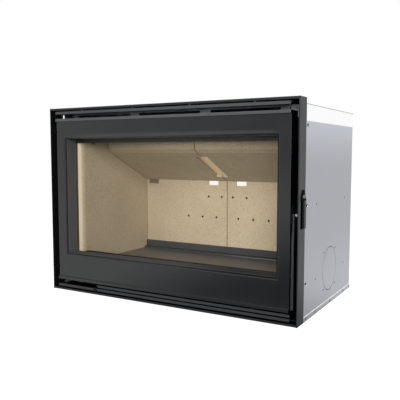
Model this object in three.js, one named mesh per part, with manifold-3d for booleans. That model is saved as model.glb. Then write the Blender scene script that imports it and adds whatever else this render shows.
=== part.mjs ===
// Wood-burning fireplace insert: a steel firebox lined with vermiculite board, inside a
// galvanised convection casing, behind a black frame with a glazed side-hung door.
// Millimetres, +Z up, front towards -Y. Depths are counted back from the front plane of
// the frame, and the whole group is then moved so that the origin lies under its middle.
import * as THREE from 'three';
import { mergeVertices } from 'three/addons/utils/BufferGeometryUtils.js';
import Module from 'manifold-3d';

const wasm = await Module();
wasm.setup();

// ---------------------------------------------------------------- driving dimensions
const insertWidth = 792;
const insertHeight = 550;
const insertDepth = 468;
const fitGap = 0.3;

// black front frame
const frameDepth = 46;
const frameSheet = 3;
const frameLipHeight = 6.5;
const frameLipSheet = 2;
const strapSheet = 3;
const strapOverlap = 16;
const strapReach = 29;
const strapEndGap = 18;

// galvanised casing
const casingSheet = 1.5;
const casingDrop = 14.2;
const topFlange = 41;
const baseFlange = 12.4;
const backFold = 14;
const foldRadius = 1.5;
const knockOutRadius = 60;
const knockOutHeight = 99.5;
const knockOutSlit = 1.2;
const knockOutBridges = 12;
const knockOutBridge = 4.5;
const guideHoleRadius = 2.5;
const guideHoleOffset = 51;
const rivetHoleRadius = 2;
const rivetFront = 91;
const rivetBack = 73.5;
const rivetLow = 92;
const rivetDrop = 248.8;
const screwDepth = 62;
const screwLow = 94;
const screwDrop = 50.8;
const screwShank = 2.1;
const screwHeadRadius = 4;
const screwHead = 2.2;
const screwClearance = 0.4;
const ventHeight = 28;
const ventRise = 2;
const ventSpans = [[-110, -62], [-42, 42], [62, 110]];
const strapSlit = { inset: 7.3, width: 7, drop: 2.8, height: 11 };

// air plates behind the door gaps, and the louvre fins in front of them
const airPlateSheet = 2;
const airPlateLap = 8;
const airPlateInset = 50;
const outletInset = 61.7;
const outletMiddle = 99;
const outletBar = 33;
const outletRim = 4.3;
const outletSlotHeight = 22;
const outletNotch = [44, 20];
const outletHoles = [[36, 7.5], [21.5, 8.4]];
const outletHoleRadius = 1.8;
const inletPortWidth = 49;
const inletPortInset = 68.7;
const inletPortHeight = 19;
const inletPortBase = 12;
const finSheet = 2;
const lowerFinEndGap = 14.5;
const topFinEndGap = 17;
const topFinHeight = 8.5;
const topFinGap = 3;
const topFinDepth = 20;
const nubRadius = 3;
const nubDepth = 10;
const nubInset = 96;
const nubSpread = 92;
const finTab = [38, 60];
const finTabDrop = 10;
const lowerFinHeight = 7;
const lowerFinInset = 2.5;
const lowerFinBase = 11;
const finPitch = 10.5;
const controlBay = 164;
const finPoint = 7;
const finArmInsets = [10.5, 105.5];
const finArmPlaces = [-150, 60];

// firebox
const fireFrontSheet = 4;
const fireFrontLow = 34;
const fireOpeningLap = 12;
const sideGap = 36.7;
const rearGap = 33.8;
const chamberFloor = 77;
const fireWall = 4;
const roofClear = 31.8;
const hearthThickness = 7;
const liningThickness = 25;
const liningClear = 34;
const liningNose = 20;
const flueRadius = 90;
const flueWall = 2.5;
const flueFlange = 14;
const flueSetback = 178;
const flueStand = 26;
const flueGap = 2;
const flueSides = 48;
const ductHalf = 172;
const ductDepth = 22;
const ductRise = 22;
const ductSheet = 1.5;
const supportInset = 27;
const supportDepth = 40;
const supportSheet = 3;

// air jets and ports in the back lining
const jetRadius = 3.5;
const jetClearance = 1;
const jetDrops = [[123, [41, 95, 150]], [53, [21, 71]]];
const portSpan = [34, 70];
const portDrop = 14;
const portRise = 7;
const portFace = 3;
const portFlare = 19;
const portFlareDown = 4.75;

// baffle over the fire
const baffleRise = 94;
const baffleRun = 200;
const baffleDrop = 147;
const baffleThickness = 35;
const baffleNose = 15;
const baffleNoseRise = 11.5;
const bafflePocket = 12;
const baffleSlot = [173.9, 34.4];
const baffleSlotHalf = 20.5;
const coverHalf = 36;
const coverLap = 14;
const coverSheet = 2;
const coverRecess = 6;
const coverHole = [-15.7, 61.8];
const coverHoleRadius = 1.6;
const restWidth = 38;
const restInset = 14;
const restDrop = 14;
const restSheet = 4;
const restStem = 10;
const restStemDrop = 12;

// loose plates on the hearth
const rearLipHeight = 27;
const rearLipSheet = 5;
const rearLipFoot = 18;
const logGuardSideGap = 8;
const logGuardHeight = 39;
const logGuardSheet = 4;
const logGuardFoot = 18;
const logGuardInset = 4;
const logGuardRound = 9;
const logGuardSlots = [[-166, -90], [-47.5, 73.5], [116, 192]];
const logGuardSlotHeight = 3.5;
const logGuardSlotDrop = 5;
const clipWidth = 16;
const clipDepth = 112;
const clipDrop = 26;
const clipSheet = 3;

// door
const doorSideGap = 19;
const doorLow = 33.5;
const doorTopClear = 31;
const doorLip = 8;
const doorLipProud = 5;
const doorSheet = 2.5;
const doorRear = 45;
const stile = 36.5;
const topRail = 59.5;
const bottomRail = 82.5;
const openingRoll = 8;
const rollSteps = 5;
const glassFlange = 12;
const gasketThickness = 1;
const gasketWidth = 8;
const glassThickness = 4;
const glassLap = 9.5;
const railSheet = 1.2;
const railGrip = 8;
const railFoot = 9;
const railInset = 30;
const railClear = 1.5;
const sealWidth = 10;
const sealOffset = 21;
const sealRound = 3;

// hinges
const hingeInset = 14;
const hingeDepth = 9;
const hingePin = 3.7;
const hingeHole = 4;
const hingeEar = 7;
const earThickness = 6;
const earRise = 34.5;
const earDrop = 41;
const pinProud = 2;
const bracketSheet = 2;
const bracketPlate = 4;
const bracketDrop = 18;
const strapClear = 1;
const shelfEnd = 4.6;

// handle and catch
const handleInset = 8;
const handleThickness = 7;
const handleNeck = 4;
const handlePivotDepth = 10.5;
const handlePivotDrop = 6.25;
const handleEye = 8;
const handleLow = 39;
const handleGripFront = 3;
const handleGripDepth = 15;
const handleRound = 4;
const handleShoulder = 70;
const handleTop = 3;
const catchArm = 30;
const catchSetback = 13.5;
const catchRoller = 5;
const catchReach = 6;
const pivotBolt = 3;
const pivotHead = 5;
const pivotHeadHeight = 3;
const bracketHeight = 44;
const bracketDepths = [5, 35];
const bracketThickness = 3.5;
const bracketChamfer = 8;

// keeper on the right side of the frame
const keeperWindow = [13.5, 35];
const keeperReach = 34;
const keeperSheet = 2;
const keeperDepths = [36, 48];
const keeperHead = 14;
const keeperTip = [24, 33];
const keeperTail = 26;
const catchNotch = 22;
const keeperBoltDepth = 27.5;
const keeperBoltRise = 10;
const keeperBoltHead = 4.5;
const keeperBoltHeight = 3;
const keeperBoltShank = 2.4;

// sliding air control
const slideSheet = 2;
const slideStart = 43;
const slideLength = 79;
const slideLow = 9;
const slideHigh = 33;
const leverClear = 0.5;
const leverWidth = 11;
const leverSheet = 1.6;
const leverDrop = 9;
const leverRise = 10;

// ---------------------------------------------------------------- derived places
const halfWidth = insertWidth / 2;
const frameInner = halfWidth - frameSheet;
const strapInner = frameInner - strapSheet;
const casingTop = insertHeight - casingDrop;
const panelOuter = halfWidth - casingSheet;
const panelInner = panelOuter - casingSheet;
const casingBack = insertDepth - casingSheet;
const knockOutDepth = (frameDepth + insertDepth) / 2;
const rivetDepths = [frameDepth + rivetFront, casingBack - rivetBack];
const rivetHeights = [rivetLow, casingTop - rivetDrop];
const screwTop = casingTop - screwDrop;
const screwHeights = [screwLow, (screwLow + screwTop) / 2, screwTop];
const fireFront = airPlateInset + airPlateSheet;
const plateHalf = strapInner - fitGap;
const outletEnd = plateHalf - outletInset;
const outletSpans = [
  [-outletEnd, -outletMiddle - outletBar],
  [-outletMiddle, outletMiddle],
  [outletMiddle + outletBar, outletEnd],
];
const inletPort = [-plateHalf + inletPortInset, -plateHalf + inletPortInset + inletPortWidth];
const finEnd = strapInner - lowerFinEndGap;
const topFinEnd = strapInner - topFinEndGap;
const nubOuter = topFinEnd - nubInset;
const nubPlaces = [-nubOuter, -nubSpread, nubSpread, nubOuter];
const shortFinStart = -strapInner + controlBay;
const finArms = [-finEnd + finArmInsets[0], ...finArmPlaces, finEnd - finArmInsets[1]];
const slideSpan = [shortFinStart - slideStart, shortFinStart - slideStart + slideLength];
const leverSpan = [shortFinStart - leverClear - leverWidth, shortFinStart - leverClear];
const chamberFront = fireFront + fireFrontSheet + fitGap;
const fireBack = casingBack - rearGap;
const backWall = fireBack - fireWall;
const chamberBack = backWall - fitGap - liningThickness;
const wallOuter = panelInner - sideGap;
const wallInner = wallOuter - fireWall;
const liningBack = wallInner - fitGap;
const chamberHalf = liningBack - liningThickness;
const supportHalf = chamberHalf - supportInset;
const restSpan = [chamberHalf - restInset - restWidth, chamberHalf - restInset];
const logGuardHalf = chamberHalf - logGuardSideGap;
const floorTop = chamberFloor - hearthThickness;
const floorLow = floorTop - fireWall;
const roofHeight = casingTop - roofClear;
const wallTop = roofHeight - fireWall;
const flueDepth = insertDepth - flueSetback;
const liningTop = roofHeight - liningClear;
const baffleRearHeight = liningTop - baffleDrop;
const slotFront = chamberBack - baffleSlot[0];
const slotBack = chamberBack - baffleSlot[1];
const jetRows = jetDrops.map(([drop, places]) => [baffleRearHeight - drop, places]);
const ductTop = Math.max(...jetRows.map(([height]) => height)) + ductRise;
const portLow = baffleRearHeight - portDrop;
const portTop = baffleRearHeight + portRise;
const ventCentre = portLow + ventRise;
const doorHalf = frameInner - doorSideGap;
const doorTop = insertHeight - doorTopClear;
const hingeX = -(frameInner - hingeInset);
const outerRect = { half: doorHalf, low: doorLow, top: doorTop };
const windowRect = { half: doorHalf - stile, low: doorLow + bottomRail, top: doorTop - topRail };
const fireOpening = {
  half: chamberHalf + fireOpeningLap,
  low: windowRect.low - fireOpeningLap,
  top: windowRect.top - fireOpeningLap,
};
const earHeights = [doorLow + earRise, doorTop - earDrop];
const handlePivotHeight = (doorLow + doorTop) / 2 - handlePivotDrop;
const handleOuter = frameInner - handleInset;
const handleInner = handleOuter - handleThickness;

// ---------------------------------------------------------------- solid helpers
const snaps = 1000;
const overcut = 1;

/** Closed three.js geometry as a solid for joining and cutting. Its points are snapped to
    a thousandth of a millimetre, so that faces meant to be flush share one plane. */
function solid(geometry) {
  const bare = geometry.clone();
  bare.deleteAttribute('normal');
  bare.deleteAttribute('uv');
  const merged = mergeVertices(bare, 1e-4);
  return new wasm.Manifold(new wasm.Mesh({
    numProp: 3,
    vertProperties: merged.attributes.position.array.map((value) => Math.round(value * snaps) / snaps),
    triVerts: Uint32Array.from(merged.index.array),
  }));
}

/** A joined and cut solid as a three.js geometry. */
function geometryOf(body) {
  const mesh = body.getMesh();
  const geometry = new THREE.BufferGeometry();
  geometry.setAttribute('position', new THREE.BufferAttribute(Float32Array.from(mesh.vertProperties), 3));
  geometry.setIndex(new THREE.BufferAttribute(Uint32Array.from(mesh.triVerts), 1));
  return geometry;
}

/** Box between two corners on each axis. */
function box([x0, x1], [y0, y1], [z0, z1]) {
  const geometry = new THREE.BoxGeometry(x1 - x0, y1 - y0, z1 - z0);
  geometry.translate((x0 + x1) / 2, (y0 + y1) / 2, (z0 + z1) / 2);
  return solid(geometry);
}

/** Outline extruded along one axis. Points are (y,z) for x, (x,z) for y and (x,y) for z. */
function prism(axis, points, from, to, curveSegments = 12) {
  const outline = (corners) => new THREE.Shape(corners.map(([u, v]) => new THREE.Vector2(u, v)));
  const shape = points instanceof THREE.Shape ? points : outline(points);
  const options = { depth: to - from, bevelEnabled: false, curveSegments };
  const geometry = new THREE.ExtrudeGeometry(shape, options);
  const turn = new THREE.Matrix4();
  const x = new THREE.Vector3(1, 0, 0);
  const y = new THREE.Vector3(0, 1, 0);
  const z = new THREE.Vector3(0, 0, 1);
  if (axis === 'x') {
    turn.makeBasis(y, z, x).setPosition(from, 0, 0);
  } else if (axis === 'y') {
    turn.makeBasis(x, z, y.negate()).setPosition(0, to, 0);
  } else {
    turn.makeBasis(x, y, z).setPosition(0, 0, from);
  }
  geometry.applyMatrix4(turn);
  return solid(geometry);
}

/** Round bar along one axis between two planes. */
function bar(axis, radius, [u, v], from, to, sides = 20) {
  const circle = new THREE.Shape();
  circle.absarc(u, v, radius, 0, 2 * Math.PI, false);
  return prism(axis, circle, from, to, sides);
}

const bendSteps = 3;

/** Section of sheet bent along a path: straight flats joined by round bends. */
function foldedSection(path, sheet, radius = foldRadius) {
  const left = [];
  const right = [];
  const offset = (point, normal, side) => [point[0] + normal[0] * side, point[1] + normal[1] * side];
  const direction = (a, b) => {
    const length = Math.hypot(b[0] - a[0], b[1] - a[1]);
    return [(b[0] - a[0]) / length, (b[1] - a[1]) / length];
  };
  const middle = radius + sheet / 2;
  path.forEach((point, i) => {
    const before = i > 0 ? direction(path[i - 1], point) : null;
    const after = i < path.length - 1 ? direction(point, path[i + 1]) : null;
    if (!before || !after) {
      const [dx, dy] = before || after;
      left.push(offset(point, [-dy, dx], sheet / 2));
      right.push(offset(point, [dy, -dx], sheet / 2));
      return;
    }
    const cross = before[0] * after[1] - before[1] * after[0];
    const turn = Math.atan2(cross, before[0] * after[0] + before[1] * after[1]);
    const setback = middle * Math.tan(Math.abs(turn) / 2);
    const side = Math.sign(turn);
    const start = [point[0] - before[0] * setback, point[1] - before[1] * setback];
    const centre = offset(start, [-before[1] * side, before[0] * side], middle);
    for (let k = 0; k <= bendSteps; k += 1) {
      const angle = (turn * k) / bendSteps;
      const spoke = [start[0] - centre[0], start[1] - centre[1]];
      const unit = [
        (spoke[0] * Math.cos(angle) - spoke[1] * Math.sin(angle)) / middle,
        (spoke[0] * Math.sin(angle) + spoke[1] * Math.cos(angle)) / middle,
      ];
      left.push(offset(centre, unit, middle - (side * sheet) / 2));
      right.push(offset(centre, unit, middle + (side * sheet) / 2));
    }
  });
  return [...left, ...right.reverse()];
}

/** Closed section carried round rectangles with mitred corners. A section point is
    [rectangle, distance outside it, depth], and the outer wall runs from front to back. */
function mitredRing(section) {
  const positions = [];
  const index = [];
  section.forEach(([rect, out, depth]) => {
    positions.push(-rect.half - out, depth, rect.low - out);
    positions.push(rect.half + out, depth, rect.low - out);
    positions.push(rect.half + out, depth, rect.top + out);
    positions.push(-rect.half - out, depth, rect.top + out);
  });
  section.forEach((_, i) => {
    const next = (i + 1) % section.length;
    for (let corner = 0; corner < 4; corner += 1) {
      const a = 4 * i + corner;
      const b = 4 * i + ((corner + 1) % 4);
      const c = 4 * next + ((corner + 1) % 4);
      const d = 4 * next + corner;
      index.push(a, c, b, a, d, c);
    }
  });
  const geometry = new THREE.BufferGeometry();
  geometry.setAttribute('position', new THREE.Float32BufferAttribute(positions, 3));
  geometry.setIndex(index);
  return solid(geometry);
}

/** The same solid on the other side of the middle plane. */
function mirrored(body) {
  return body.mirror([1, 0, 0]);
}

/** Solids joined into one body. */
function joined(first, ...others) {
  return others.reduce((whole, piece) => whole.add(piece), first);
}

// ---------------------------------------------------------------- materials
const paint = new THREE.MeshStandardMaterial({ color: 0x17191a, roughness: 0.55, metalness: 0.3 });
const doorPaint = new THREE.MeshStandardMaterial({ color: 0x26292a, roughness: 0.5, metalness: 0.3 });
const galvanised = new THREE.MeshStandardMaterial({ color: 0xa4a7aa, roughness: 0.45, metalness: 0.8 });
const fireSteel = new THREE.MeshStandardMaterial({ color: 0x2c2b29, roughness: 0.6, metalness: 0.5 });
const vermiculite = new THREE.MeshStandardMaterial({ color: 0xc4ae86, roughness: 0.95, metalness: 0 });
const ceramicGlass = new THREE.MeshStandardMaterial({
  color: 0xd8d4cc, roughness: 0.05, metalness: 0, transparent: true, opacity: 0.25,
});
const rope = new THREE.MeshStandardMaterial({ color: 0x1d1d1c, roughness: 1, metalness: 0 });
const brightSteel = new THREE.MeshStandardMaterial({ color: 0xc9cbcc, roughness: 0.3, metalness: 1 });

const insert = new THREE.Group();
insert.position.y = -insertDepth / 2;

/** Adds one named piece to a group of the assembly. */
function piece(group, name, body, material) {
  const mesh = new THREE.Mesh(geometryOf(body), material);
  mesh.name = name;
  group.add(mesh);
}

/** New group inside the insert. */
function assembly() {
  const group = new THREE.Group();
  insert.add(group);
  return group;
}

// ---------------------------------------------------------------- casing
/** Ring of slits that lets a round blank be knocked out of the side panel. */
function knockOutSlits(from, to) {
  const slits = [];
  const pitch = (2 * Math.PI) / knockOutBridges;
  const bridge = knockOutBridge / knockOutRadius;
  for (let i = 0; i < knockOutBridges; i += 1) {
    const start = i * pitch + bridge / 2;
    const end = (i + 1) * pitch - bridge / 2;
    const slit = new THREE.Shape();
    slit.absarc(knockOutDepth, knockOutHeight, knockOutRadius + knockOutSlit / 2, start, end, false);
    slit.absarc(knockOutDepth, knockOutHeight, knockOutRadius - knockOutSlit / 2, end, start, true);
    slits.push(prism('x', slit, from, to, 5));
  }
  return slits;
}

/** Side panel of the casing, with its knock-out, guide holes, rivet holes and screw holes. */
function sidePanel() {
  const through = [panelInner - overcut, panelOuter + overcut];
  let panel = box([panelInner, panelOuter], [frameDepth, casingBack], [casingSheet, casingTop - casingSheet]);
  for (const slit of knockOutSlits(...through)) {
    panel = panel.subtract(slit);
  }
  for (const side of [-1, 1]) {
    for (const rise of [-1, 1]) {
      const place = [knockOutDepth + side * guideHoleOffset, knockOutHeight + rise * guideHoleOffset];
      panel = panel.subtract(bar('x', guideHoleRadius, place, ...through, 10));
    }
  }
  for (const depth of rivetDepths) {
    for (const height of rivetHeights) {
      panel = panel.subtract(bar('x', rivetHoleRadius, [depth, height], ...through, 10));
    }
  }
  for (const height of screwHeights) {
    panel = panel.subtract(bar('x', screwShank + screwClearance, [screwDepth, height], ...through, 10));
  }
  return panel;
}

/** Shallow tray from its side outline (depth, height): the outline less the space between the
    flanges at both sides and the back. */
function flangedTray(outline, hollowLow, hollowTop) {
  const block = prism('x', outline, -halfWidth, halfWidth);
  const depths = [frameDepth - overcut, casingBack];
  return block.subtract(box([-panelOuter, panelOuter], depths, [hollowLow, hollowTop]));
}

function buildCasing() {
  const casing = assembly();
  const side = sidePanel();
  piece(casing, 'casing_side_right', side, galvanised);

  // slit for a hanging strap, high in the left side and in the lid's flange over it
  const slitFront = frameDepth + strapSlit.inset;
  const slitTop = casingTop - strapSlit.drop;
  const slit = box(
    [-halfWidth - overcut, -panelInner + overcut],
    [slitFront, slitFront + strapSlit.width],
    [slitTop - strapSlit.height, slitTop],
  );
  piece(casing, 'casing_side_left', mirrored(side).subtract(slit), galvanised);

  const foldX = panelInner - casingSheet / 2;
  const foldY = casingBack - casingSheet / 2;
  const tray = foldedSection([
    [-foldX, foldY - backFold],
    [-foldX, foldY],
    [foldX, foldY],
    [foldX, foldY - backFold],
  ], casingSheet);
  let back = prism('z', tray, casingSheet, casingTop - casingSheet);
  for (const span of ventSpans) {
    const heights = [ventCentre - ventHeight / 2, ventCentre + ventHeight / 2];
    back = back.subtract(box(span, [foldY - casingSheet, casingBack + overcut], heights));
  }
  piece(casing, 'casing_back', back, galvanised);

  // lid with its flanges turned down over the sides, and an upstand behind the frame
  const lid = flangedTray([
    [frameDepth, casingTop - topFlange],
    [insertDepth, casingTop - topFlange],
    [insertDepth, casingTop],
    [frameDepth + casingSheet, casingTop],
    [frameDepth + casingSheet, insertHeight],
    [frameDepth, insertHeight],
  ], casingTop - topFlange - overcut, casingTop - casingSheet);
  const lidBottom = casingTop - casingSheet - overcut;
  const hole = bar('z', flueRadius + flueGap, [0, flueDepth], lidBottom, casingTop + overcut, flueSides);
  piece(casing, 'casing_top', lid.subtract(hole).subtract(slit), galvanised);
  const base = flangedTray([
    [frameDepth, 0],
    [insertDepth, 0],
    [insertDepth, baseFlange],
    [frameDepth, baseFlange],
  ], casingSheet, baseFlange + overcut);
  piece(casing, 'casing_base', base, galvanised);
}

// ---------------------------------------------------------------- front frame
/** Right side of the frame: a black sheet cheek and the strap behind it that takes the casing. */
function frameCheek() {
  const round = frameSheet / 2;
  const cheek = new THREE.Shape();
  cheek.moveTo(frameInner, frameDepth);
  cheek.lineTo(frameInner, round);
  cheek.absarc(frameInner + round, round, round, Math.PI, 2 * Math.PI, false);
  cheek.lineTo(halfWidth, frameDepth);
  const sheet = prism('z', cheek, 0, insertHeight, 6);
  const depths = [frameDepth - strapOverlap, frameDepth + strapReach];
  const strap = box([strapInner, frameInner], depths, [strapEndGap, insertHeight - 2 * strapEndGap]);
  let whole = sheet.add(strap);
  for (const height of screwHeights) {
    const place = [screwDepth, height];
    whole = whole.subtract(bar('x', screwShank + screwClearance, place, strapInner - overcut, halfWidth, 10));
  }
  return whole;
}

function buildFrame() {
  const frame = assembly();
  const cheek = frameCheek();
  piece(frame, 'frame_left', mirrored(cheek), paint);

  const windowLow = handlePivotHeight - keeperReach;
  const windowTop = handlePivotHeight + keeperReach;
  const through = [strapInner - overcut, halfWidth + overcut];
  const keyhole = box(through, keeperWindow, [windowLow, windowTop]);
  const strapFront = frameDepth - strapOverlap;
  const notch = box(
    [strapInner - overcut, frameInner],
    [strapFront - overcut, strapFront + catchNotch],
    [windowLow, windowTop + keeperTail],
  );
  const boltPlace = [keeperBoltDepth, windowTop + keeperBoltRise];
  const boltEnd = halfWidth + keeperSheet + overcut;
  const boltHole = bar('x', keeperBoltShank + fitGap, boltPlace, strapInner - overcut, boltEnd, 12);
  piece(frame, 'frame_right', cheek.subtract(keyhole).subtract(notch).subtract(boltHole), paint);

  const middle = frameLipSheet / 2;
  const topRun = foldedSection([
    [middle, insertHeight - frameLipHeight],
    [middle, insertHeight - middle],
    [frameDepth, insertHeight - middle],
  ], frameLipSheet, 1);
  piece(frame, 'frame_top', prism('x', topRun, -frameInner, frameInner), paint);
  const bottomRun = foldedSection([
    [middle, frameLipHeight],
    [middle, middle],
    [frameDepth, middle],
  ], frameLipSheet, 1);
  piece(frame, 'frame_bottom', prism('x', bottomRun, -frameInner, frameInner), paint);

  // keeper strip on the outside of the right cheek, with a wider head that tapers past its bolt
  const [keeperFront, keeperBack] = keeperDepths;
  const [tipFront, tipBack] = keeperTip;
  const outline = [
    [keeperFront, windowLow],
    [keeperBack, windowLow],
    [keeperBack, windowTop],
    [tipBack, windowTop + keeperTail],
    [tipFront, windowTop + keeperTail],
    [keeperHead, windowTop],
    [keeperFront, windowTop],
  ];
  const seat = halfWidth + keeperSheet;
  piece(frame, 'keeper_strip', prism('x', outline, halfWidth, seat).subtract(boltHole), paint);
  const bolt = joined(
    bar('x', keeperBoltHead, boltPlace, seat, seat + keeperBoltHeight, 6),
    bar('x', keeperBoltShank, boltPlace, frameInner + fitGap, seat, 12),
  );
  piece(frame, 'keeper_bolt', bolt, brightSteel);

  // one of the screws that hold each casing side to its strap
  const screwPlace = [screwDepth, screwHeights[1]];
  const screw = joined(
    bar('x', screwHeadRadius, screwPlace, panelOuter, panelOuter + screwHead, 16),
    bar('x', screwShank, screwPlace, strapInner, panelOuter, 10),
  );
  piece(frame, 'casing_screw_right', screw, brightSteel);
  piece(frame, 'casing_screw_left', mirrored(screw), brightSteel);
}

// ---------------------------------------------------------------- air plates and fins
function buildAirPlates() {
  const front = assembly();
  const depths = [airPlateInset, airPlateInset + airPlateSheet];
  const through = [airPlateInset - overcut, airPlateInset + airPlateSheet + overcut];
  const outletTop = casingTop - casingSheet;
  let outlet = box([-plateHalf, plateHalf], depths, [roofHeight, outletTop]);
  for (const span of outletSpans) {
    const slotTop = outletTop - outletRim;
    outlet = outlet.subtract(box(span, through, [slotTop - outletSlotHeight, slotTop]));
  }
  const [notchWidth, notchDrop] = outletNotch;
  const notchSpan = [-plateHalf - overcut, -plateHalf + notchWidth];
  outlet = outlet.subtract(box(notchSpan, through, [outletTop - notchDrop, outletTop + overcut]));
  for (const [inset, drop] of outletHoles) {
    const place = plateHalf - inset;
    outlet = outlet.subtract(bar('y', outletHoleRadius, [place, outletTop - drop], ...through, 10));
  }
  piece(front, 'air_outlet_plate', outlet, paint);

  let inlet = box([-plateHalf, plateHalf], depths, [frameLipSheet, fireFrontLow + airPlateLap]);
  inlet = inlet.subtract(box(inletPort, through, [inletPortBase, inletPortBase + inletPortHeight]));
  piece(front, 'air_inlet_plate', inlet, paint);

  // top fin: an angle strip hung from the frame on four nubs
  const finTop = insertHeight - frameLipHeight - topFinGap;
  const middle = finSheet / 2;
  const angle = foldedSection([
    [middle, finTop - topFinHeight],
    [middle, finTop - middle],
    [topFinDepth, finTop - middle],
  ], finSheet, 1);
  let topFin = prism('x', angle, -topFinEnd, topFinEnd);
  for (const place of nubPlaces) {
    const nubTop = insertHeight - frameLipSheet;
    topFin = topFin.add(bar('z', nubRadius, [place, nubDepth], finTop - middle, nubTop, 10));
  }
  const tabDepths = [topFinDepth - finSheet, topFinDepth];
  topFin = topFin.add(box(finTab, tabDepths, [finTop - finTabDrop, finTop]));
  piece(front, 'top_fin', topFin, paint);
}

/** Lower fin: an upright strip on arms that run back to the inlet plate. */
function lowerFin(outline, base, arms) {
  let fin = prism('y', outline, lowerFinInset, lowerFinInset + finSheet);
  for (const place of arms) {
    const depths = [lowerFinInset + finSheet / 2, airPlateInset];
    fin = fin.add(box([place, place + finSheet], depths, [base, base + lowerFinHeight]));
  }
  return fin;
}

function buildLowerFins() {
  const front = assembly();
  const longTop = lowerFinBase + lowerFinHeight;
  const long = [[-finEnd, lowerFinBase], [finEnd, lowerFinBase], [finEnd, longTop], [-finEnd, longTop]];
  piece(front, 'lower_fin_long', lowerFin(long, lowerFinBase, finArms), paint);
  const base = lowerFinBase + finPitch;
  const short = [
    [shortFinStart + finPoint, base],
    [finEnd, base],
    [finEnd, base + lowerFinHeight],
    [shortFinStart, base + lowerFinHeight],
  ];
  const arms = finArms.filter((place) => place > slideSpan[1]);
  piece(front, 'lower_fin_short', lowerFin(short, base, arms), paint);
}

// ---------------------------------------------------------------- firebox
function buildFirebox() {
  const firebox = assembly();
  const front = { half: plateHalf, low: fireFrontLow, top: roofHeight + airPlateLap };
  const frontBack = fireFront + fireFrontSheet;
  piece(firebox, 'firebox_front', mitredRing([
    [front, 0, fireFront],
    [front, 0, frontBack],
    [fireOpening, 0, frontBack],
    [fireOpening, 0, fireFront],
  ]), fireSteel);

  const sideWall = box([wallInner, wallOuter], [frontBack, fireBack], [floorTop, wallTop]);
  piece(firebox, 'firebox_wall_right', sideWall, fireSteel);
  piece(firebox, 'firebox_wall_left', mirrored(sideWall), fireSteel);

  const through = [backWall - overcut, fireBack + overcut];
  let rear = box([-wallInner, wallInner], [backWall, fireBack], [floorTop, wallTop]);
  for (const [height, places] of jetRows) {
    for (const place of places) {
      const jet = bar('y', jetRadius + jetClearance, [place, height], ...through, 10);
      rear = rear.subtract(jet).subtract(mirrored(jet));
    }
  }
  const port = portOpening(...through, portFlare);
  piece(firebox, 'firebox_wall_back', rear.subtract(port).subtract(mirrored(port)), fireSteel);

  const footprint = [[-wallOuter, wallOuter], [frontBack, fireBack]];
  piece(firebox, 'firebox_floor', box(...footprint, [floorLow, floorTop]), fireSteel);
  const flueCentre = [0, flueDepth];
  const inner = flueRadius - flueWall;
  const flueBore = bar('z', inner, flueCentre, wallTop - overcut, roofHeight + overcut, flueSides);
  piece(firebox, 'firebox_roof', box(...footprint, [wallTop, roofHeight]).subtract(flueBore), fireSteel);

  const collarTop = casingTop + flueStand;
  const profile = [
    [inner, roofHeight],
    [flueRadius + flueFlange, roofHeight],
    [flueRadius + flueFlange, roofHeight + flueWall],
    [flueRadius, roofHeight + flueWall],
    [flueRadius, collarTop],
    [inner, collarTop],
    [inner, roofHeight],
  ].map(([r, z]) => new THREE.Vector2(r, z));
  const collar = new THREE.LatheGeometry(profile, flueSides);
  collar.rotateX(Math.PI / 2);
  collar.translate(0, flueDepth, 0);
  piece(firebox, 'flue_collar', solid(collar), fireSteel);

  // channel on the back wall that feeds the air jets, open towards the wall and below
  const ductOuter = box([-ductHalf, ductHalf], [fireBack, fireBack + ductDepth], [floorTop, ductTop]);
  const ductInner = box(
    [-ductHalf + ductSheet, ductHalf - ductSheet],
    [fireBack - overcut, fireBack + ductDepth - ductSheet],
    [floorTop - overcut, ductTop - ductSheet],
  );
  piece(firebox, 'jet_air_duct', ductOuter.subtract(ductInner), fireSteel);

  // channel across the casing floor that carries the back of the firebox
  const footTop = floorLow - supportSheet / 2;
  const footLow = casingSheet;
  const footFront = fireBack - supportDepth;
  const channel = foldedSection([
    [footFront, footLow],
    [footFront, footTop],
    [fireBack - supportSheet / 2, footTop],
    [fireBack - supportSheet / 2, footLow],
  ], supportSheet);
  piece(firebox, 'firebox_support', prism('x', channel, -supportHalf, supportHalf), galvanised);
}

/** Port below the baffle, right of the middle, widened by a flare on both sides. */
function portOpening(from, to, flare) {
  const low = flare > 0 ? portLow - portFlareDown : portLow;
  return box([portSpan[0] - flare, portSpan[1] + flare], [from, to], [low, portTop]);
}

// ---------------------------------------------------------------- lining and baffle
/** Underside height of the baffle at a depth. */
function baffleUnderside(depth) {
  return baffleRearHeight + ((chamberBack - depth) * baffleRise) / baffleRun;
}

/** Side outline of the baffle, grown by a margin. */
function baffleOutline(margin, top) {
  const noseDepth = chamberBack - baffleRun - baffleNose;
  const heel = chamberBack - baffleRun;
  const rise = baffleThickness + margin;
  const points = [
    [noseDepth - margin, baffleUnderside(heel) + baffleNoseRise],
    [heel, baffleUnderside(heel) - margin],
    [chamberBack - fitGap + margin, baffleUnderside(chamberBack - fitGap) - margin],
  ];
  if (top) {
    points.push([chamberBack - fitGap + margin, top], [noseDepth - margin, top]);
  } else {
    points.push([chamberBack - fitGap, baffleUnderside(chamberBack - fitGap) + rise]);
    points.push([heel, baffleUnderside(heel) + rise], [noseDepth, baffleUnderside(heel) + rise]);
  }
  return points;
}

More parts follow.
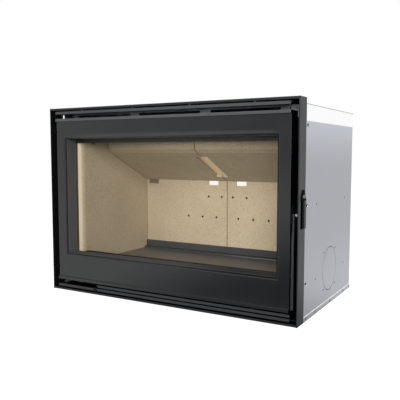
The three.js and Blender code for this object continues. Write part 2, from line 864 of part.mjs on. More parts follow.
function buildLining() {
  const lining = assembly();
  const board = new THREE.Shape();
  board.moveTo(liningBack, chamberFront);
  board.lineTo(liningBack, chamberBack + liningThickness);
  board.lineTo(chamberHalf, chamberBack + liningThickness);
  board.lineTo(chamberHalf, chamberFront + liningNose);
  const noseCentre = [chamberHalf + liningNose, chamberFront + liningNose];
  board.absarc(...noseCentre, liningNose, Math.PI, 1.5 * Math.PI, false);
  const pocketOutline = baffleOutline(fitGap, liningTop + overcut);
  const pocket = prism('x', pocketOutline, chamberHalf - overcut, chamberHalf + bafflePocket);
  const side = prism('z', board, floorTop, liningTop, 10).subtract(pocket);
  piece(lining, 'lining_right', side, vermiculite);
  piece(lining, 'lining_left', mirrored(side), vermiculite);

  const depths = [chamberBack, chamberBack + liningThickness];
  const through = [chamberBack - overcut, chamberBack + liningThickness + overcut];
  let back = box([fitGap / 2, chamberHalf - fitGap], depths, [floorTop, liningTop]);
  for (const [height, places] of jetRows) {
    for (const place of places) {
      back = back.subtract(bar('y', jetRadius, [place, height], ...through, 10));
    }
  }
  back = back.subtract(portOpening(...through, 0));
  back = back.subtract(portOpening(depths[0] + portFace, through[1], portFlare));
  const stem = restStemBox(fitGap);
  back = back.subtract(stem);
  piece(lining, 'lining_back_right', back, vermiculite);
  piece(lining, 'lining_back_left', mirrored(back), vermiculite);

  // steel tab under the back edge of the baffle, its stem through the lining to the wall
  const [restFrom, restTo] = restSpan;
  const tabFront = chamberBack - fitGap - restSheet;
  const tab = prism('x', [
    [tabFront, baffleRearHeight - restDrop],
    [chamberBack - fitGap, baffleRearHeight - restDrop],
    [chamberBack - fitGap, baffleUnderside(chamberBack - fitGap) - 2 * fitGap],
    [tabFront, baffleUnderside(tabFront) - 2 * fitGap],
  ], restFrom, restTo).add(restStemBox(0));
  piece(lining, 'baffle_rest_right', tab, fireSteel);
  piece(lining, 'baffle_rest_left', mirrored(tab), fireSteel);

  const half = prism('x', baffleOutline(0, 0), fitGap / 2, chamberHalf + bafflePocket - fitGap);
  const slot = box([-baffleSlotHalf, baffleSlotHalf], [slotFront, slotBack], [baffleRearHeight, wallTop]);
  const baffle = half.subtract(slot);
  piece(lining, 'baffle_right', baffle, vermiculite);
  piece(lining, 'baffle_left', mirrored(baffle), vermiculite);

  // pressed cover: a pan that hangs in the slot from a rim on top of the boards
  const rimLift = baffleThickness + fitGap;
  const rimTop = rimLift + coverSheet;
  const rim = slopedSlab([slotFront - coverLap, slotBack + coverLap], rimLift, rimTop, coverHalf);
  const panDepths = [slotFront + fitGap, slotBack - fitGap];
  const pan = slopedSlab(panDepths, coverRecess, rimTop, baffleSlotHalf - fitGap);
  const hollowDepths = [panDepths[0] + coverSheet, panDepths[1] - coverSheet];
  const hollowHalf = baffleSlotHalf - fitGap - coverSheet;
  const hollow = slopedSlab(hollowDepths, coverRecess + coverSheet, rimTop + overcut, hollowHalf);
  const holePlace = [coverHole[0], chamberBack - coverHole[1]];
  const hole = bar('z', coverHoleRadius, holePlace, baffleRearHeight, wallTop, 10);
  piece(lining, 'baffle_cover', rim.add(pan).subtract(hollow).subtract(hole), fireSteel);
}

/** Slab between two depths that lies parallel to the baffle's underside, from one height
    above it to another. */
function slopedSlab([front, back], low, top, half) {
  return prism('x', [
    [front, baffleUnderside(front) + low],
    [back, baffleUnderside(back) + low],
    [back, baffleUnderside(back) + top],
    [front, baffleUnderside(front) + top],
  ], -half, half);
}

/** Stem of a baffle rest, or the hole for it with a gap all round. */
function restStemBox(gap) {
  const middle = (restSpan[0] + restSpan[1]) / 2;
  const low = baffleRearHeight - restStemDrop;
  const depths = [chamberBack - 2 * fitGap, chamberBack + liningThickness + gap];
  return box([middle - restStem - gap, middle + restStem + gap], depths, [low - gap, low + restStem + gap]);
}

function buildHearth() {
  const hearth = assembly();
  const half = chamberHalf - fitGap;
  const back = chamberBack - fitGap;
  const plate = box([-half, half], [chamberFront, back], [floorTop, chamberFloor]);
  piece(hearth, 'hearth_plate', plate, fireSteel);

  const rear = foldedSection([
    [back - rearLipFoot, chamberFloor + rearLipSheet / 2],
    [back - rearLipSheet / 2, chamberFloor + rearLipSheet / 2],
    [back - rearLipSheet / 2, chamberFloor + rearLipHeight],
  ], rearLipSheet);
  piece(hearth, 'hearth_rear_lip', prism('x', rear, -half, half), fireSteel);

  const guardFront = chamberFront + logGuardInset;
  const guard = foldedSection([
    [guardFront + logGuardFoot, chamberFloor + logGuardSheet / 2],
    [guardFront + logGuardSheet / 2, chamberFloor + logGuardSheet / 2],
    [guardFront + logGuardSheet / 2, chamberFloor + logGuardHeight],
  ], logGuardSheet);
  const face = new THREE.Shape();
  const top = chamberFloor + logGuardHeight;
  face.moveTo(-logGuardHalf, chamberFloor - overcut);
  face.lineTo(logGuardHalf, chamberFloor - overcut);
  face.lineTo(logGuardHalf, top - logGuardRound);
  face.absarc(logGuardHalf - logGuardRound, top - logGuardRound, logGuardRound, 0, Math.PI / 2, false);
  face.lineTo(-logGuardHalf + logGuardRound, top);
  face.absarc(-logGuardHalf + logGuardRound, top - logGuardRound, logGuardRound, Math.PI / 2, Math.PI, false);
  const envelope = prism('y', face, guardFront - overcut, guardFront + logGuardFoot + overcut, 6);
  let guardBody = prism('x', guard, -logGuardHalf - overcut, logGuardHalf + overcut).intersect(envelope);
  const slotTop = top - logGuardSlotDrop;
  for (const span of logGuardSlots) {
    const slotDepths = [guardFront - overcut, guardFront + logGuardSheet + overcut];
    guardBody = guardBody.subtract(box(span, slotDepths, [slotTop - logGuardSlotHeight, slotTop]));
  }
  piece(hearth, 'log_guard', guardBody, fireSteel);

  // steel clip hooked over the top of each side lining
  const clipFace = chamberHalf - fitGap - clipSheet / 2;
  const hook = foldedSection([
    [clipFace, liningTop - clipDrop],
    [clipFace, liningTop + fitGap + clipSheet / 2],
    [liningBack, liningTop + fitGap + clipSheet / 2],
  ], clipSheet, 0.5);
  const clip = prism('y', hook, clipDepth - clipWidth / 2, clipDepth + clipWidth / 2);
  piece(hearth, 'lining_clip_right', clip, fireSteel);
  piece(hearth, 'lining_clip_left', mirrored(clip), fireSteel);
}

// ---------------------------------------------------------------- door
/** Pressed door frame: one sheet section with a rolled opening edge and a turned-out glass seat. */
function doorFrameBody() {
  const face = doorLipProud;
  const section = [
    [outerRect, 0, face],
    [outerRect, 0, doorRear],
    [outerRect, -doorSheet, doorRear],
    [outerRect, -doorSheet, face + doorSheet],
    [windowRect, doorSheet + openingRoll, face + doorSheet],
  ];
  const inside = openingRoll - doorSheet;
  for (let i = 1; i <= rollSteps; i += 1) {
    const angle = (i / rollSteps) * (Math.PI / 2);
    const out = openingRoll - inside * Math.sin(angle);
    section.push([windowRect, out, face + openingRoll - inside * Math.cos(angle)]);
  }
  section.push([windowRect, doorSheet, doorRear - doorSheet]);
  section.push([windowRect, glassFlange, doorRear - doorSheet]);
  section.push([windowRect, glassFlange, doorRear]);
  section.push([windowRect, 0, doorRear]);
  for (let i = rollSteps; i >= 0; i -= 1) {
    const angle = (i / rollSteps) * (Math.PI / 2);
    const out = openingRoll - openingRoll * Math.sin(angle);
    section.push([windowRect, out, face + openingRoll - openingRoll * Math.cos(angle)]);
  }
  const tray = mitredRing(section);
  const lipDepths = [0, face + doorSheet];
  const topLip = box([-doorHalf, doorHalf], lipDepths, [doorTop - doorLip, doorTop]);
  const bottomLip = box([-doorHalf, doorHalf], lipDepths, [doorLow, doorLow + doorLip]);
  return joined(tray, topLip, bottomLip);
}

function buildDoor() {
  const door = assembly();
  piece(door, 'door_frame', doorFrameBody(), doorPaint);

  piece(door, 'door_back_plate', mitredRing([
    [outerRect, -doorSheet, doorRear - doorSheet],
    [outerRect, -doorSheet, doorRear],
    [windowRect, glassFlange, doorRear],
    [windowRect, glassFlange, doorRear - doorSheet],
  ]), paint);

  const gasketBack = doorRear + gasketThickness;
  piece(door, 'glass_gasket', mitredRing([
    [windowRect, gasketWidth, doorRear],
    [windowRect, gasketWidth, gasketBack],
    [windowRect, 0, gasketBack],
    [windowRect, 0, doorRear],
  ]), rope);

  const glassBack = gasketBack + glassThickness;
  const pane = [-windowRect.half - glassLap, windowRect.half + glassLap];
  const heights = [windowRect.low - glassLap, windowRect.top + glassLap];
  piece(door, 'door_glass', box(pane, [gasketBack, glassBack], heights), ceramicGlass);

  // strips that clamp the pane along its top and bottom edges
  const edge = windowRect.top + glassLap;
  const railBack = glassBack + fitGap + railSheet / 2;
  const section = foldedSection([
    [railBack, edge - railGrip],
    [railBack, edge + railClear],
    [doorRear + railSheet / 2, edge + railClear],
    [doorRear + railSheet / 2, edge + railFoot],
  ], railSheet, 0.4);
  const railHalf = windowRect.half - railInset;
  const rail = prism('x', section, -railHalf, railHalf);
  piece(door, 'glass_rail_top', rail, fireSteel);
  const shift = windowRect.top + windowRect.low;
  piece(door, 'glass_rail_bottom', rail.mirror([0, 0, 1]).translate([0, 0, shift]), fireSteel);

  // rope seal in the shape of the firebox front, flattened against it
  const sealBack = fireFront - fitGap;
  piece(door, 'door_seal', mitredRing([
    [windowRect, sealOffset + sealWidth, doorRear],
    [windowRect, sealOffset + sealWidth, sealBack - sealRound],
    [windowRect, sealOffset + sealWidth - sealRound, sealBack],
    [windowRect, sealOffset + sealRound, sealBack],
    [windowRect, sealOffset, sealBack - sealRound],
    [windowRect, sealOffset, doorRear],
  ]), rope);
}

// ---------------------------------------------------------------- hinges
function buildHinges() {
  const hinges = assembly();
  ['lower', 'upper'].forEach((name, i) => {
    const earLow = earHeights[i];
    const ear = new THREE.Shape();
    ear.moveTo(-doorHalf, hingeDepth - hingeEar);
    ear.lineTo(-doorHalf, hingeDepth + hingeEar);
    ear.lineTo(hingeX, hingeDepth + hingeEar);
    ear.absarc(hingeX, hingeDepth, hingeEar, Math.PI / 2, 1.5 * Math.PI, false);
    const earTop = earLow + earThickness;
    const hole = bar('z', hingeHole, [hingeX, hingeDepth], earLow - overcut, earTop + overcut, 20);
    piece(hinges, `hinge_ear_${name}`, prism('z', ear, earLow, earTop, 10).subtract(hole), doorPaint);

    // bracket on the left cheek: an upright leg, and a shelf under the ear
    const shelfTop = earLow - fitGap;
    const wallFace = -frameInner;
    const depths = [hingeDepth - shelfEnd, frameDepth - strapOverlap - strapClear];
    const leg = box([wallFace, wallFace + bracketSheet], depths, [shelfTop - bracketDrop, shelfTop]);
    const shelf = new THREE.Shape();
    shelf.moveTo(wallFace, hingeDepth - shelfEnd);
    shelf.absarc(hingeX, hingeDepth, shelfEnd, -Math.PI / 2, Math.PI / 2, false);
    shelf.lineTo(wallFace, hingeDepth + shelfEnd);
    const ledge = prism('z', shelf, shelfTop - bracketPlate, shelfTop, 8);
    piece(hinges, `hinge_bracket_${name}`, leg.add(ledge), paint);
    const pin = bar('z', hingePin, [hingeX, hingeDepth], shelfTop, earTop + pinProud, 20);
    piece(hinges, `hinge_pin_${name}`, pin, brightSteel);
  });
}

// ---------------------------------------------------------------- handle and catch
function buildHandle() {
  const handle = assembly();
  const pivot = [handlePivotDepth, handlePivotHeight];

  // side view: a straight grip up to the eye at the pivot, and a catch arm that leans back
  const side = new THREE.Shape();
  const gripBack = handleGripFront + handleGripDepth;
  const gripLow = handleLow + handleRound;
  const catchPoint = [handlePivotDepth + catchSetback, handlePivotHeight + catchArm];
  side.moveTo(handleGripFront + handleRound, handleLow);
  side.lineTo(gripBack - handleRound, handleLow);
  side.quadraticCurveTo(gripBack, handleLow, gripBack, gripLow);
  side.lineTo(gripBack, handlePivotHeight - handleEye);
  side.lineTo(catchPoint[0] + catchRoller, catchPoint[1]);
  side.absarc(...catchPoint, catchRoller, 0, Math.PI, false);
  side.lineTo(handlePivotDepth, handlePivotHeight + handleEye);
  side.lineTo(handleGripFront, handlePivotHeight + handleTop);
  side.lineTo(handleGripFront, gripLow);
  side.quadraticCurveTo(handleGripFront, handleLow, handleGripFront + handleRound, handleLow);

  // front view: full thickness on the grip, necked down towards the pivot
  const neckInner = handleOuter - handleNeck;
  const armTop = catchPoint[1] + catchRoller + overcut;
  const front = [
    [handleInner, handleLow - overcut],
    [handleOuter, handleLow - overcut],
    [handleOuter, armTop],
    [neckInner, armTop],
    [neckInner, handlePivotHeight - handleEye],
    [handleInner, handlePivotHeight - handleShoulder],
  ];
  const outerFace = handleOuter + overcut;
  const hole = bar('x', pivotBolt + fitGap, pivot, handleInner - overcut, outerFace, 16);
  const lever = prism('x', side, handleInner, handleOuter, 8)
    .intersect(prism('y', front, 0, catchPoint[0] + catchRoller + overcut))
    .subtract(hole);
  const rollerHole = bar('x', pivotBolt, catchPoint, handleInner - overcut, outerFace, 12);
  piece(handle, 'handle_lever', lever.subtract(rollerHole), doorPaint);
  const stub = bar('x', pivotBolt - fitGap, catchPoint, neckInner, handleOuter + fitGap, 12);
  const seat = handleOuter + fitGap;
  const roller = bar('x', catchRoller, catchPoint, seat, seat + catchReach, 16);
  piece(handle, 'catch_roller', stub.add(roller), brightSteel);

  // bracket on the edge of the door, and the bolt that the lever turns on
  const [plateFront, plateBack] = bracketDepths;
  const plateLow = handlePivotHeight - bracketHeight / 2;
  const plateTop = handlePivotHeight + bracketHeight / 2;
  const plate = [
    [plateFront, plateLow],
    [plateBack, plateLow],
    [plateBack, plateTop],
    [plateFront + bracketChamfer, plateTop],
    [plateFront, plateTop - bracketChamfer],
  ];
  const plateOuter = doorHalf + bracketThickness;
  piece(handle, 'handle_bracket', prism('x', plate, doorHalf, plateOuter), paint);
  const bolt = joined(
    bar('x', pivotHead, pivot, plateOuter, neckInner - fitGap, 20),
    bar('x', pivotBolt, pivot, plateOuter, seat, 16),
    bar('x', pivotHead, pivot, seat, seat + pivotHeadHeight, 6),
  );
  piece(handle, 'handle_pivot_bolt', bolt, brightSteel);
}

// ---------------------------------------------------------------- air control
function buildAirControl() {
  const control = assembly();
  const slideBack = airPlateInset - fitGap;
  const slideFront = slideBack - slideSheet;
  piece(control, 'air_slide', box(slideSpan, [slideFront, slideBack], [slideLow, slideHigh]), fireSteel);

  // lever: a bent strip that passes over the long fin and hangs in front of it
  const middle = leverSheet / 2;
  const leverFront = lowerFinInset - fitGap - middle;
  const shelf = lowerFinBase + lowerFinHeight + 2 * fitGap + middle;
  const strip = foldedSection([
    [leverFront, shelf - leverDrop],
    [leverFront, shelf],
    [slideFront - middle, shelf],
    [slideFront - middle, shelf + leverRise],
  ], leverSheet, 0.6);
  piece(control, 'air_lever', prism('x', strip, ...leverSpan), paint);
}

buildCasing();
buildFrame();
buildAirPlates();
buildLowerFins();
buildFirebox();
buildLining();
buildHearth();
buildDoor();
buildHinges();
buildHandle();
buildAirControl();

export default insert;
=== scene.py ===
"""Looks of a built-in wood-burning fireplace insert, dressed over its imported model.

Metres, +Z up, front towards -Y, origin under the middle of the casing.
"""
import math

import bmesh
import bpy
import numpy as np
from mathutils import Euler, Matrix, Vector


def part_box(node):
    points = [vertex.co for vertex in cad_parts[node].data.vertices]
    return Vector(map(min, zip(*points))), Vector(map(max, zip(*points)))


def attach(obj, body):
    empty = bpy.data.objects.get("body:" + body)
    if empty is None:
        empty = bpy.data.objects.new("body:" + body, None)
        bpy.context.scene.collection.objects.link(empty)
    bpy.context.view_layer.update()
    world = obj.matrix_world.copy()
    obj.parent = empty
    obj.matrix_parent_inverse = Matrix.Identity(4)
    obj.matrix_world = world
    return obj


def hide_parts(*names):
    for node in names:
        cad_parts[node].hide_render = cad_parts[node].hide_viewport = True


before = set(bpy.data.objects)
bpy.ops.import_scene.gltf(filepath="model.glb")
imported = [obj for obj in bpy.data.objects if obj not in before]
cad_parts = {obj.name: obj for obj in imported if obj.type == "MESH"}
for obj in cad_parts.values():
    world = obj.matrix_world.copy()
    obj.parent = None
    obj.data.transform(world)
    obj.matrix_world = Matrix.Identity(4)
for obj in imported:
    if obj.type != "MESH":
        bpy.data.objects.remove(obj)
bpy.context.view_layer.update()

# ------------------------------------------------------------------ camera
# A product view from the right front, a little above the middle of the door and looking
# slightly down. Turn and dip are the camera's angles to the depth axis and the horizon.
eye_place = (0.84466, -1.4691, 0.4191)
eye_turn = math.radians(30.10)
eye_dip = math.radians(4.91)
sensor_width = 36.0
focal_length = 49.87

lens = bpy.data.cameras.new("view_camera")
lens.sensor_width = sensor_width
lens.lens = focal_length
eye = bpy.data.objects.new("view_camera", lens)
eye.location = eye_place
eye.rotation_euler = Euler((math.pi / 2 - eye_dip, 0, eye_turn))
bpy.context.scene.collection.objects.link(eye)
bpy.context.scene.camera = eye

# ------------------------------------------------------------------ convection casing
# Folded from 1.5 mm galvanised sheet: two sides, a back, a base tray and a support channel
# under the firebox. The zinc shows a faint spangle and large clouds. It is painted paler near
# the top and the foot as a painted reflection, and a painted highlight runs along the height of
# the base flange's top. The ring of slits and the holes punched in the sides get painted shade
# round their edges.
fade = 0.0004


class Field:
    """A value that varies inside a finish. Arithmetic with fields and numbers adds Math nodes.
    A field without a socket stands for an empty tree, to which the first nodes are added."""

    def __init__(self, tree, socket=None):
        self.tree = tree
        self.socket = socket

    def node(self, kind, settings, sockets, output=0):
        """Adds a node of any kind: its settings first, then the values or links of its inputs."""
        made = self.tree.nodes.new("ShaderNode" + kind)
        for key, value in settings.items():
            setattr(made, key, value)
        for key, value in sockets.items():
            if isinstance(value, Field):
                self.tree.links.new(value.socket, made.inputs[key])
            else:
                made.inputs[key].default_value = value
        return Field(self.tree, made.outputs[output])

    def math(self, operation, *values):
        """A Math node of fields and numbers."""
        return self.node("Math", {"operation": operation}, dict(enumerate(values)))

    def __add__(self, other):
        return self.math("ADD", self, other)

    def __radd__(self, other):
        return self.math("ADD", other, self)

    def __sub__(self, other):
        return self.math("SUBTRACT", self, other)

    def __rsub__(self, other):
        return self.math("SUBTRACT", other, self)

    def __mul__(self, other):
        return self.math("MULTIPLY", self, other)

    def __rmul__(self, other):
        return self.math("MULTIPLY", other, self)

    def __pow__(self, other):
        return self.math("POWER", self, other)

    def __abs__(self):
        return self.math("ABSOLUTE", self)

    def larger(self, other):
        """The larger of two fields at each place."""
        return self.math("MAXIMUM", self, other)

    def between(self, low, high):
        """0 up to the low value, 1 from the high value, and even in between."""
        return self.node("MapRange", {}, {"Value": self, "From Min": low, "From Max": high})

    def past(self, edge, width=fade):
        """0 up to an edge and 1 past it, with a narrow fade just past the edge."""
        return self.between(edge, edge + width)

    def short_of(self, edge, width=fade):
        """1 up to an edge and 0 past it, with a narrow fade just past the edge."""
        return self.between(edge + width, edge)

    def blend(self, off, on):
        """Colour that goes from one to the other as this field goes from 0 to 1."""
        return self.node("Mix", {"data_type": "RGBA"}, {0: self, 6: off, 7: on}, 2)

    def stretched(self, factors):
        """This place or colour, multiplied on each axis or channel."""
        return self.node("VectorMath", {"operation": "MULTIPLY"}, {0: self, 1: factors})

    def distance(self, point):
        """Distance of this place from a point."""
        return self.node("VectorMath", {"operation": "DISTANCE"}, {0: self, 1: point}, "Value")

    def side_distance(self, depth, height):
        """Distance of this place from a point, as seen from the side."""
        return self.stretched((0.0, 1.0, 1.0)).distance((0.0, depth, height))

    def axis(self, number):
        """One coordinate of this place."""
        return self.node("SeparateXYZ", {}, {0: self}, number)

    def noise(self, scale, detail=2.0, roughness=0.5):
        """Cloudy noise about 0.5 at this place, with cells 1/scale metres across."""
        settings = {"Vector": self, "Scale": scale, "Detail": detail, "Roughness": roughness}
        return self.node("TexNoise", {}, settings)

    def cells(self, scale):
        """A random shade of 0 to 1 for each crystal-like cell, 1/scale metres across."""
        colour = self.node("TexVoronoi", {}, {"Vector": self, "Scale": scale}, "Color")
        return colour.node("SeparateColor", {}, {0: colour})


def tone(red, green, blue):
    """Colour from its 8-bit display values, as linear light."""
    display = np.array([red, green, blue]) / 255
    linear = np.where(display > 0.04045, ((display + 0.055) / 1.055) ** 2.4, display / 12.92)
    return (*map(float, linear), 1.0)


def new_finish(name, **constants):
    """Starts a finish whose shader has these constants. Gives the material, a function that
    feeds varying values to the shader, and the place on the piece as a field."""
    material = bpy.data.materials.new(name)
    material.use_nodes = True
    tree = material.node_tree
    shader = tree.nodes["Principled BSDF"]
    for key, value in constants.items():
        shader.inputs[key.replace("_", " ")].default_value = value

    def feed(**fields):
        for key, field in fields.items():
            tree.links.new(field.socket, shader.inputs[key.replace("_", " ")])

    return material, feed, Field(tree).node("TexCoord", {}, {}, "Object")


def bumped(height, depth, **under):
    """Normals of a surface that rises by a height field of 0 to 1, times a depth in metres, on
    top of other normals where these are given."""
    return height.node("Bump", {}, {"Height": height, "Distance": depth, "Strength": 1.0, **under})


def dress(material, *names):
    """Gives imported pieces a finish."""
    for name in names:
        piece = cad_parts[name]
        piece.data.materials.clear()
        piece.data.materials.append(material)


zinc_bright = tone(171, 174, 180)
zinc_dull = tone(164, 167, 172)
# Painted reflection: the zinc is laid paler near the top and the foot of the sides.
zinc_painted_sheen = tone(212, 216, 224)
# Painted highlight along the top of the base flange.
flange_highlight = tone(252, 252, 253)
# Painted shade round the slits and holes punched in the sides.
punched_edge_shade = tone(70, 73, 78)
spangles_per_metre = 90.0
clouds_per_metre = 3.0
spangle_share = 0.3
cloud_share = 0.5
mottle_range = (0.2, 0.6)
spangle_relief = 0.00001
top_painted_sheen = 0.75
top_painted_sheen_from = 0.37
top_painted_sheen_full = 0.51
top_painted_sheen_curve = 1.5
foot_painted_sheen = 0.2
foot_painted_sheen_from = 0.20
foot_painted_sheen_full = 0.06
zinc_roughness = 0.36
zinc_unevenness = 0.05
flange_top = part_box("casing_base")[1].z
flange_highlight_half = 0.0008
side_panels = 0.380
side_panels_fade = 0.005
knock_out_depth = 0.023
knock_out_height = 0.0995
knock_out_radius = 0.060
slit_half = 0.0007
guide_offset = 0.051
rivet_depths = (-0.097, 0.159)
rivet_heights = (0.092, 0.287)
hole_reach = 0.0028
hole_fade = 0.0006
punch_shade_strength = 0.75

holes = [(knock_out_depth + back * guide_offset, knock_out_height + up * guide_offset)
         for back in (-1, 1) for up in (-1, 1)]
holes += [(y, z) for y in rivet_depths for z in rivet_heights]

zinc, feed, place = new_finish("galvanised_zinc", Metallic=0.85)
spangle = place.cells(spangles_per_metre)
clouds = place.noise(clouds_per_metre, 3.0)
height = place.axis(2)
mottle = (spangle * spangle_share + clouds * cloud_share).between(*mottle_range)
# Painted reflection, paler towards the top and towards the foot.
painted_sheen = (top_painted_sheen * height.between(top_painted_sheen_from, top_painted_sheen_full) ** top_painted_sheen_curve
         + foot_painted_sheen * height.between(foot_painted_sheen_from, foot_painted_sheen_full))
sheet = painted_sheen.blend(mottle.blend(zinc_dull, zinc_bright), zinc_painted_sheen)
# Painted shade round the ring of slits and round each punched hole.
from_middle = place.side_distance(knock_out_depth, knock_out_height)
punched = abs(from_middle - knock_out_radius).short_of(slit_half)
for hole_depth, hole_height in holes:
    away = place.side_distance(hole_depth, hole_height)
    punched = punched.larger(away.short_of(hole_reach, hole_fade))
punched = punched * punch_shade_strength * abs(place.axis(0)).past(side_panels, side_panels_fade)
# Painted highlight along the height of the base flange's top.
flange_glint = abs(height - flange_top).short_of(flange_highlight_half)
feed(
    Base_Color=punched.blend(flange_glint.blend(sheet, flange_highlight), punched_edge_shade),
    Roughness=zinc_roughness + zinc_unevenness * (spangle + clouds),
    Normal=bumped(spangle, spangle_relief),
)
dress(zinc, "casing_side_right", "casing_side_left", "casing_back", "casing_base", "firebox_support")

# ------------------------------------------------------------------ casing lid
# The lid is pressed from brighter zinc-coated sheet, with flanges turned down over the sides.
# The fold along its top edge is darker, and the upstand behind the frame, which lies in the dark
# gap there, is painted black as painted shade.
lid_white = tone(254, 254, 255)
lid_fold = tone(84, 92, 112)
upstand_shade_black = tone(4, 4, 5)
lid_roughness = 0.25
lid_unevenness = 0.1
lid_clouds_per_metre = 5.0
lid_grain_per_metre = 700.0
lid_grain_relief = 0.00001
lid_sheet = 0.0015
fold_depth = 0.0016
lid_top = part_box("casing_side_right")[1].z + lid_sheet
upstand_sheet = 0.0016
upstand_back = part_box("frame_top")[1].y + upstand_sheet

lid_zinc, feed, place = new_finish("lid_zinc", Metallic=1.0)
fold = place.axis(2).past(lid_top - fold_depth)
# Painted shade: the upstand behind the frame is laid black.
upstand = place.axis(1).short_of(upstand_back, fade / 2)
feed(
    Base_Color=upstand.blend(fold.blend(lid_white, lid_fold), upstand_shade_black),
    Roughness=lid_roughness + lid_unevenness * place.noise(lid_clouds_per_metre),
    Normal=bumped(place.noise(lid_grain_per_metre), lid_grain_relief),
)
dress(lid_zinc, "casing_top")

# ------------------------------------------------------------------ casing screws
# Zinc-plated pan-head screws with a cross recess. They fix the sides to the frame's straps at
# the front and to the turned-up edge of the base tray. The strap screws get painted shade towards
# their rims, and the screws in the tray's edge are a darker copy of the zinc, as painted shade.
weld_distance = 1e-6
dome_reach = 0.84
edge_reach = 0.94
rim_share = 0.45
cross_half = 0.14
cross_reach = 0.62
cross_turn = (0.3, 0.5, 0.8)


def grid_quads(rows, columns, round_rows):
    """Quads of a grid of points, each joining a point to the next in both directions. The last
    column joins the first, and so does the last row where the rows are round."""
    row = np.arange(rows if round_rows else rows - 1)[:, None]
    column = np.arange(columns)[None, :]
    next_row = (row + 1) % rows
    next_column = (column + 1) % columns
    corners = [
        row * columns + column,
        row * columns + next_column,
        next_row * columns + next_column,
        next_row * columns + column,
    ]
    return np.stack(corners, axis=-1).reshape(-1, 4)


def add_piece(name, grids, material, body, crease=35.0, round_rows=False):
    """One mesh object from grids of points (rows, columns, 3) that are round along their
    columns. Points that coincide, as at a pole, are merged and the faces turned outward."""
    points = []
    quads = []
    start = 0
    for grid in grids:
        rows, columns = grid.shape[:2]
        points.append(grid.reshape(-1, 3))
        quads.append(grid_quads(rows, columns, round_rows) + start)
        start += rows * columns
    mesh = bpy.data.meshes.new(name)
    mesh.from_pydata(np.concatenate(points).tolist(), [], np.concatenate(quads).tolist())
    clean = bmesh.new()
    clean.from_mesh(mesh)
    bmesh.ops.remove_doubles(clean, verts=clean.verts, dist=weld_distance)
    bmesh.ops.recalc_face_normals(clean, faces=clean.faces)
    clean.to_mesh(mesh)
    clean.free()
    mesh.shade_smooth()
    mesh.set_sharp_from_angle(angle=math.radians(crease))
    mesh.materials.append(material)
    piece = bpy.data.objects.new(name, mesh)
    bpy.context.scene.collection.objects.link(piece)
    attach(piece, body)
    return piece


def pan_head(radius, height, recess):
    """Screw head as (rings, spokes, 3), with its axis on z and its seat at 0. Rings run out from
    the pole to the rim, straight down to the seat and back to its middle. The top is a flattened
    dome: the height, of which the rim has its share and the rest is times 1 - (r/R)^4. The cross
    is sunk where a point lies near either axis."""
    top = np.append(np.linspace(0, dome_reach, 8), [edge_reach, 1])
    rings = radius * np.append(top, [1, 0])[:, None]
    spokes = np.linspace(0, 2 * np.pi, 32, endpoint=False)[None, :]
    x = rings * np.cos(spokes)
    y = rings * np.sin(spokes)
    dome = np.append(rim_share + (1 - rim_share) * (1 - top ** 4), [0, 0])[:, None]
    near_axis = np.minimum(np.abs(x), np.abs(y)) < cross_half * radius
    inside = np.hypot(x, y) < cross_reach * radius
    z = height * dome - recess * (near_axis & inside & (dome > 0))
    return np.stack([x, y, z], axis=-1)


def placed(head, centre, outward):
    """Points of a head moved to a centre, with its axis turned to the outward direction and its
    cross turned off the upright."""
    axis = np.array(outward, float)
    side = np.cross(axis, cross_turn)
    side /= np.linalg.norm(side)
    basis = np.stack([side, np.cross(axis, side), axis])
    return head @ basis + np.array(centre)


screw_low, screw_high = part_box("casing_screw_right")
strap_screw_depth = (screw_low.y + screw_high.y) / 2
strap_screw_heights = (0.094, (screw_low.z + screw_high.z) / 2, 0.485)
strap_screw_radius = 0.0040
strap_screw_recess = 0.0011
flange_screw_depths = (0.060, 0.135, 0.261, 0.392, 0.460)
flange_screw_height = 0.0072
flange_screw_radius = 0.0036
flange_recess_share = 0.4
panel_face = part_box("casing_side_right")[1].x
flange_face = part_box("casing_base")[1].x
front_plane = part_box("frame_top")[0].y
rim_shade_start = 0.0022
rim_fade = 0.0006
blotches_per_metre = 300.0
scratches_per_metre = 500.0
scratch_roughness = 0.12


def plating(name, roughness, colour):
    """Plated steel with an uneven shine. The colour is a function of the place on the piece."""
    material, feed, place = new_finish(name, Metallic=1.0)
    scratches = place.noise(scratches_per_metre)
    feed(Base_Color=colour(place), Roughness=roughness + scratch_roughness * scratches)
    return material


def bright_with_shaded_rims(place):
    """Bright zinc, with painted shade towards the rim of each strap screw."""
    rim = 1.0
    for screw_height in strap_screw_heights:
        away = place.side_distance(strap_screw_depth, screw_height)
        rim = rim * away.past(rim_shade_start, rim_fade)
    bright = place.noise(blotches_per_metre).blend(tone(226, 228, 232), tone(250, 250, 251))
    return rim.blend(bright, tone(40, 42, 46))


def shaded_zinc(place):
    """Blotchy grey zinc, laid darker as painted shade where the flange screws stand in shade."""
    return place.noise(blotches_per_metre).blend(tone(84, 86, 90), tone(120, 122, 126))


bright_plating = plating("bright_plating", 0.2, bright_with_shaded_rims)
shaded_plating = plating("shaded_plating", 0.3, shaded_zinc)

strap_head = pan_head(strap_screw_radius, screw_high.x - panel_face, strap_screw_recess)
proud = screw_high.x - flange_face
flange_head = pan_head(flange_screw_radius, proud, flange_recess_share * proud)
for side, hand in ((1, "right"), (-1, "left")):
    outward = (side, 0, 0)
    strap_screws = [placed(strap_head, (side * panel_face, strap_screw_depth, z), outward)
                    for z in strap_screw_heights]
    screws = add_piece(f"strap_screws_{hand}", strap_screws, bright_plating, "insert")
    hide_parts(f"casing_screw_{hand}")
    flange_screws = [
        placed(flange_head, (side * flange_face, front_plane + y, flange_screw_height), outward)
        for y in flange_screw_depths
    ]
    add_piece(f"flange_screws_{hand}", flange_screws, shaded_plating, "insert")

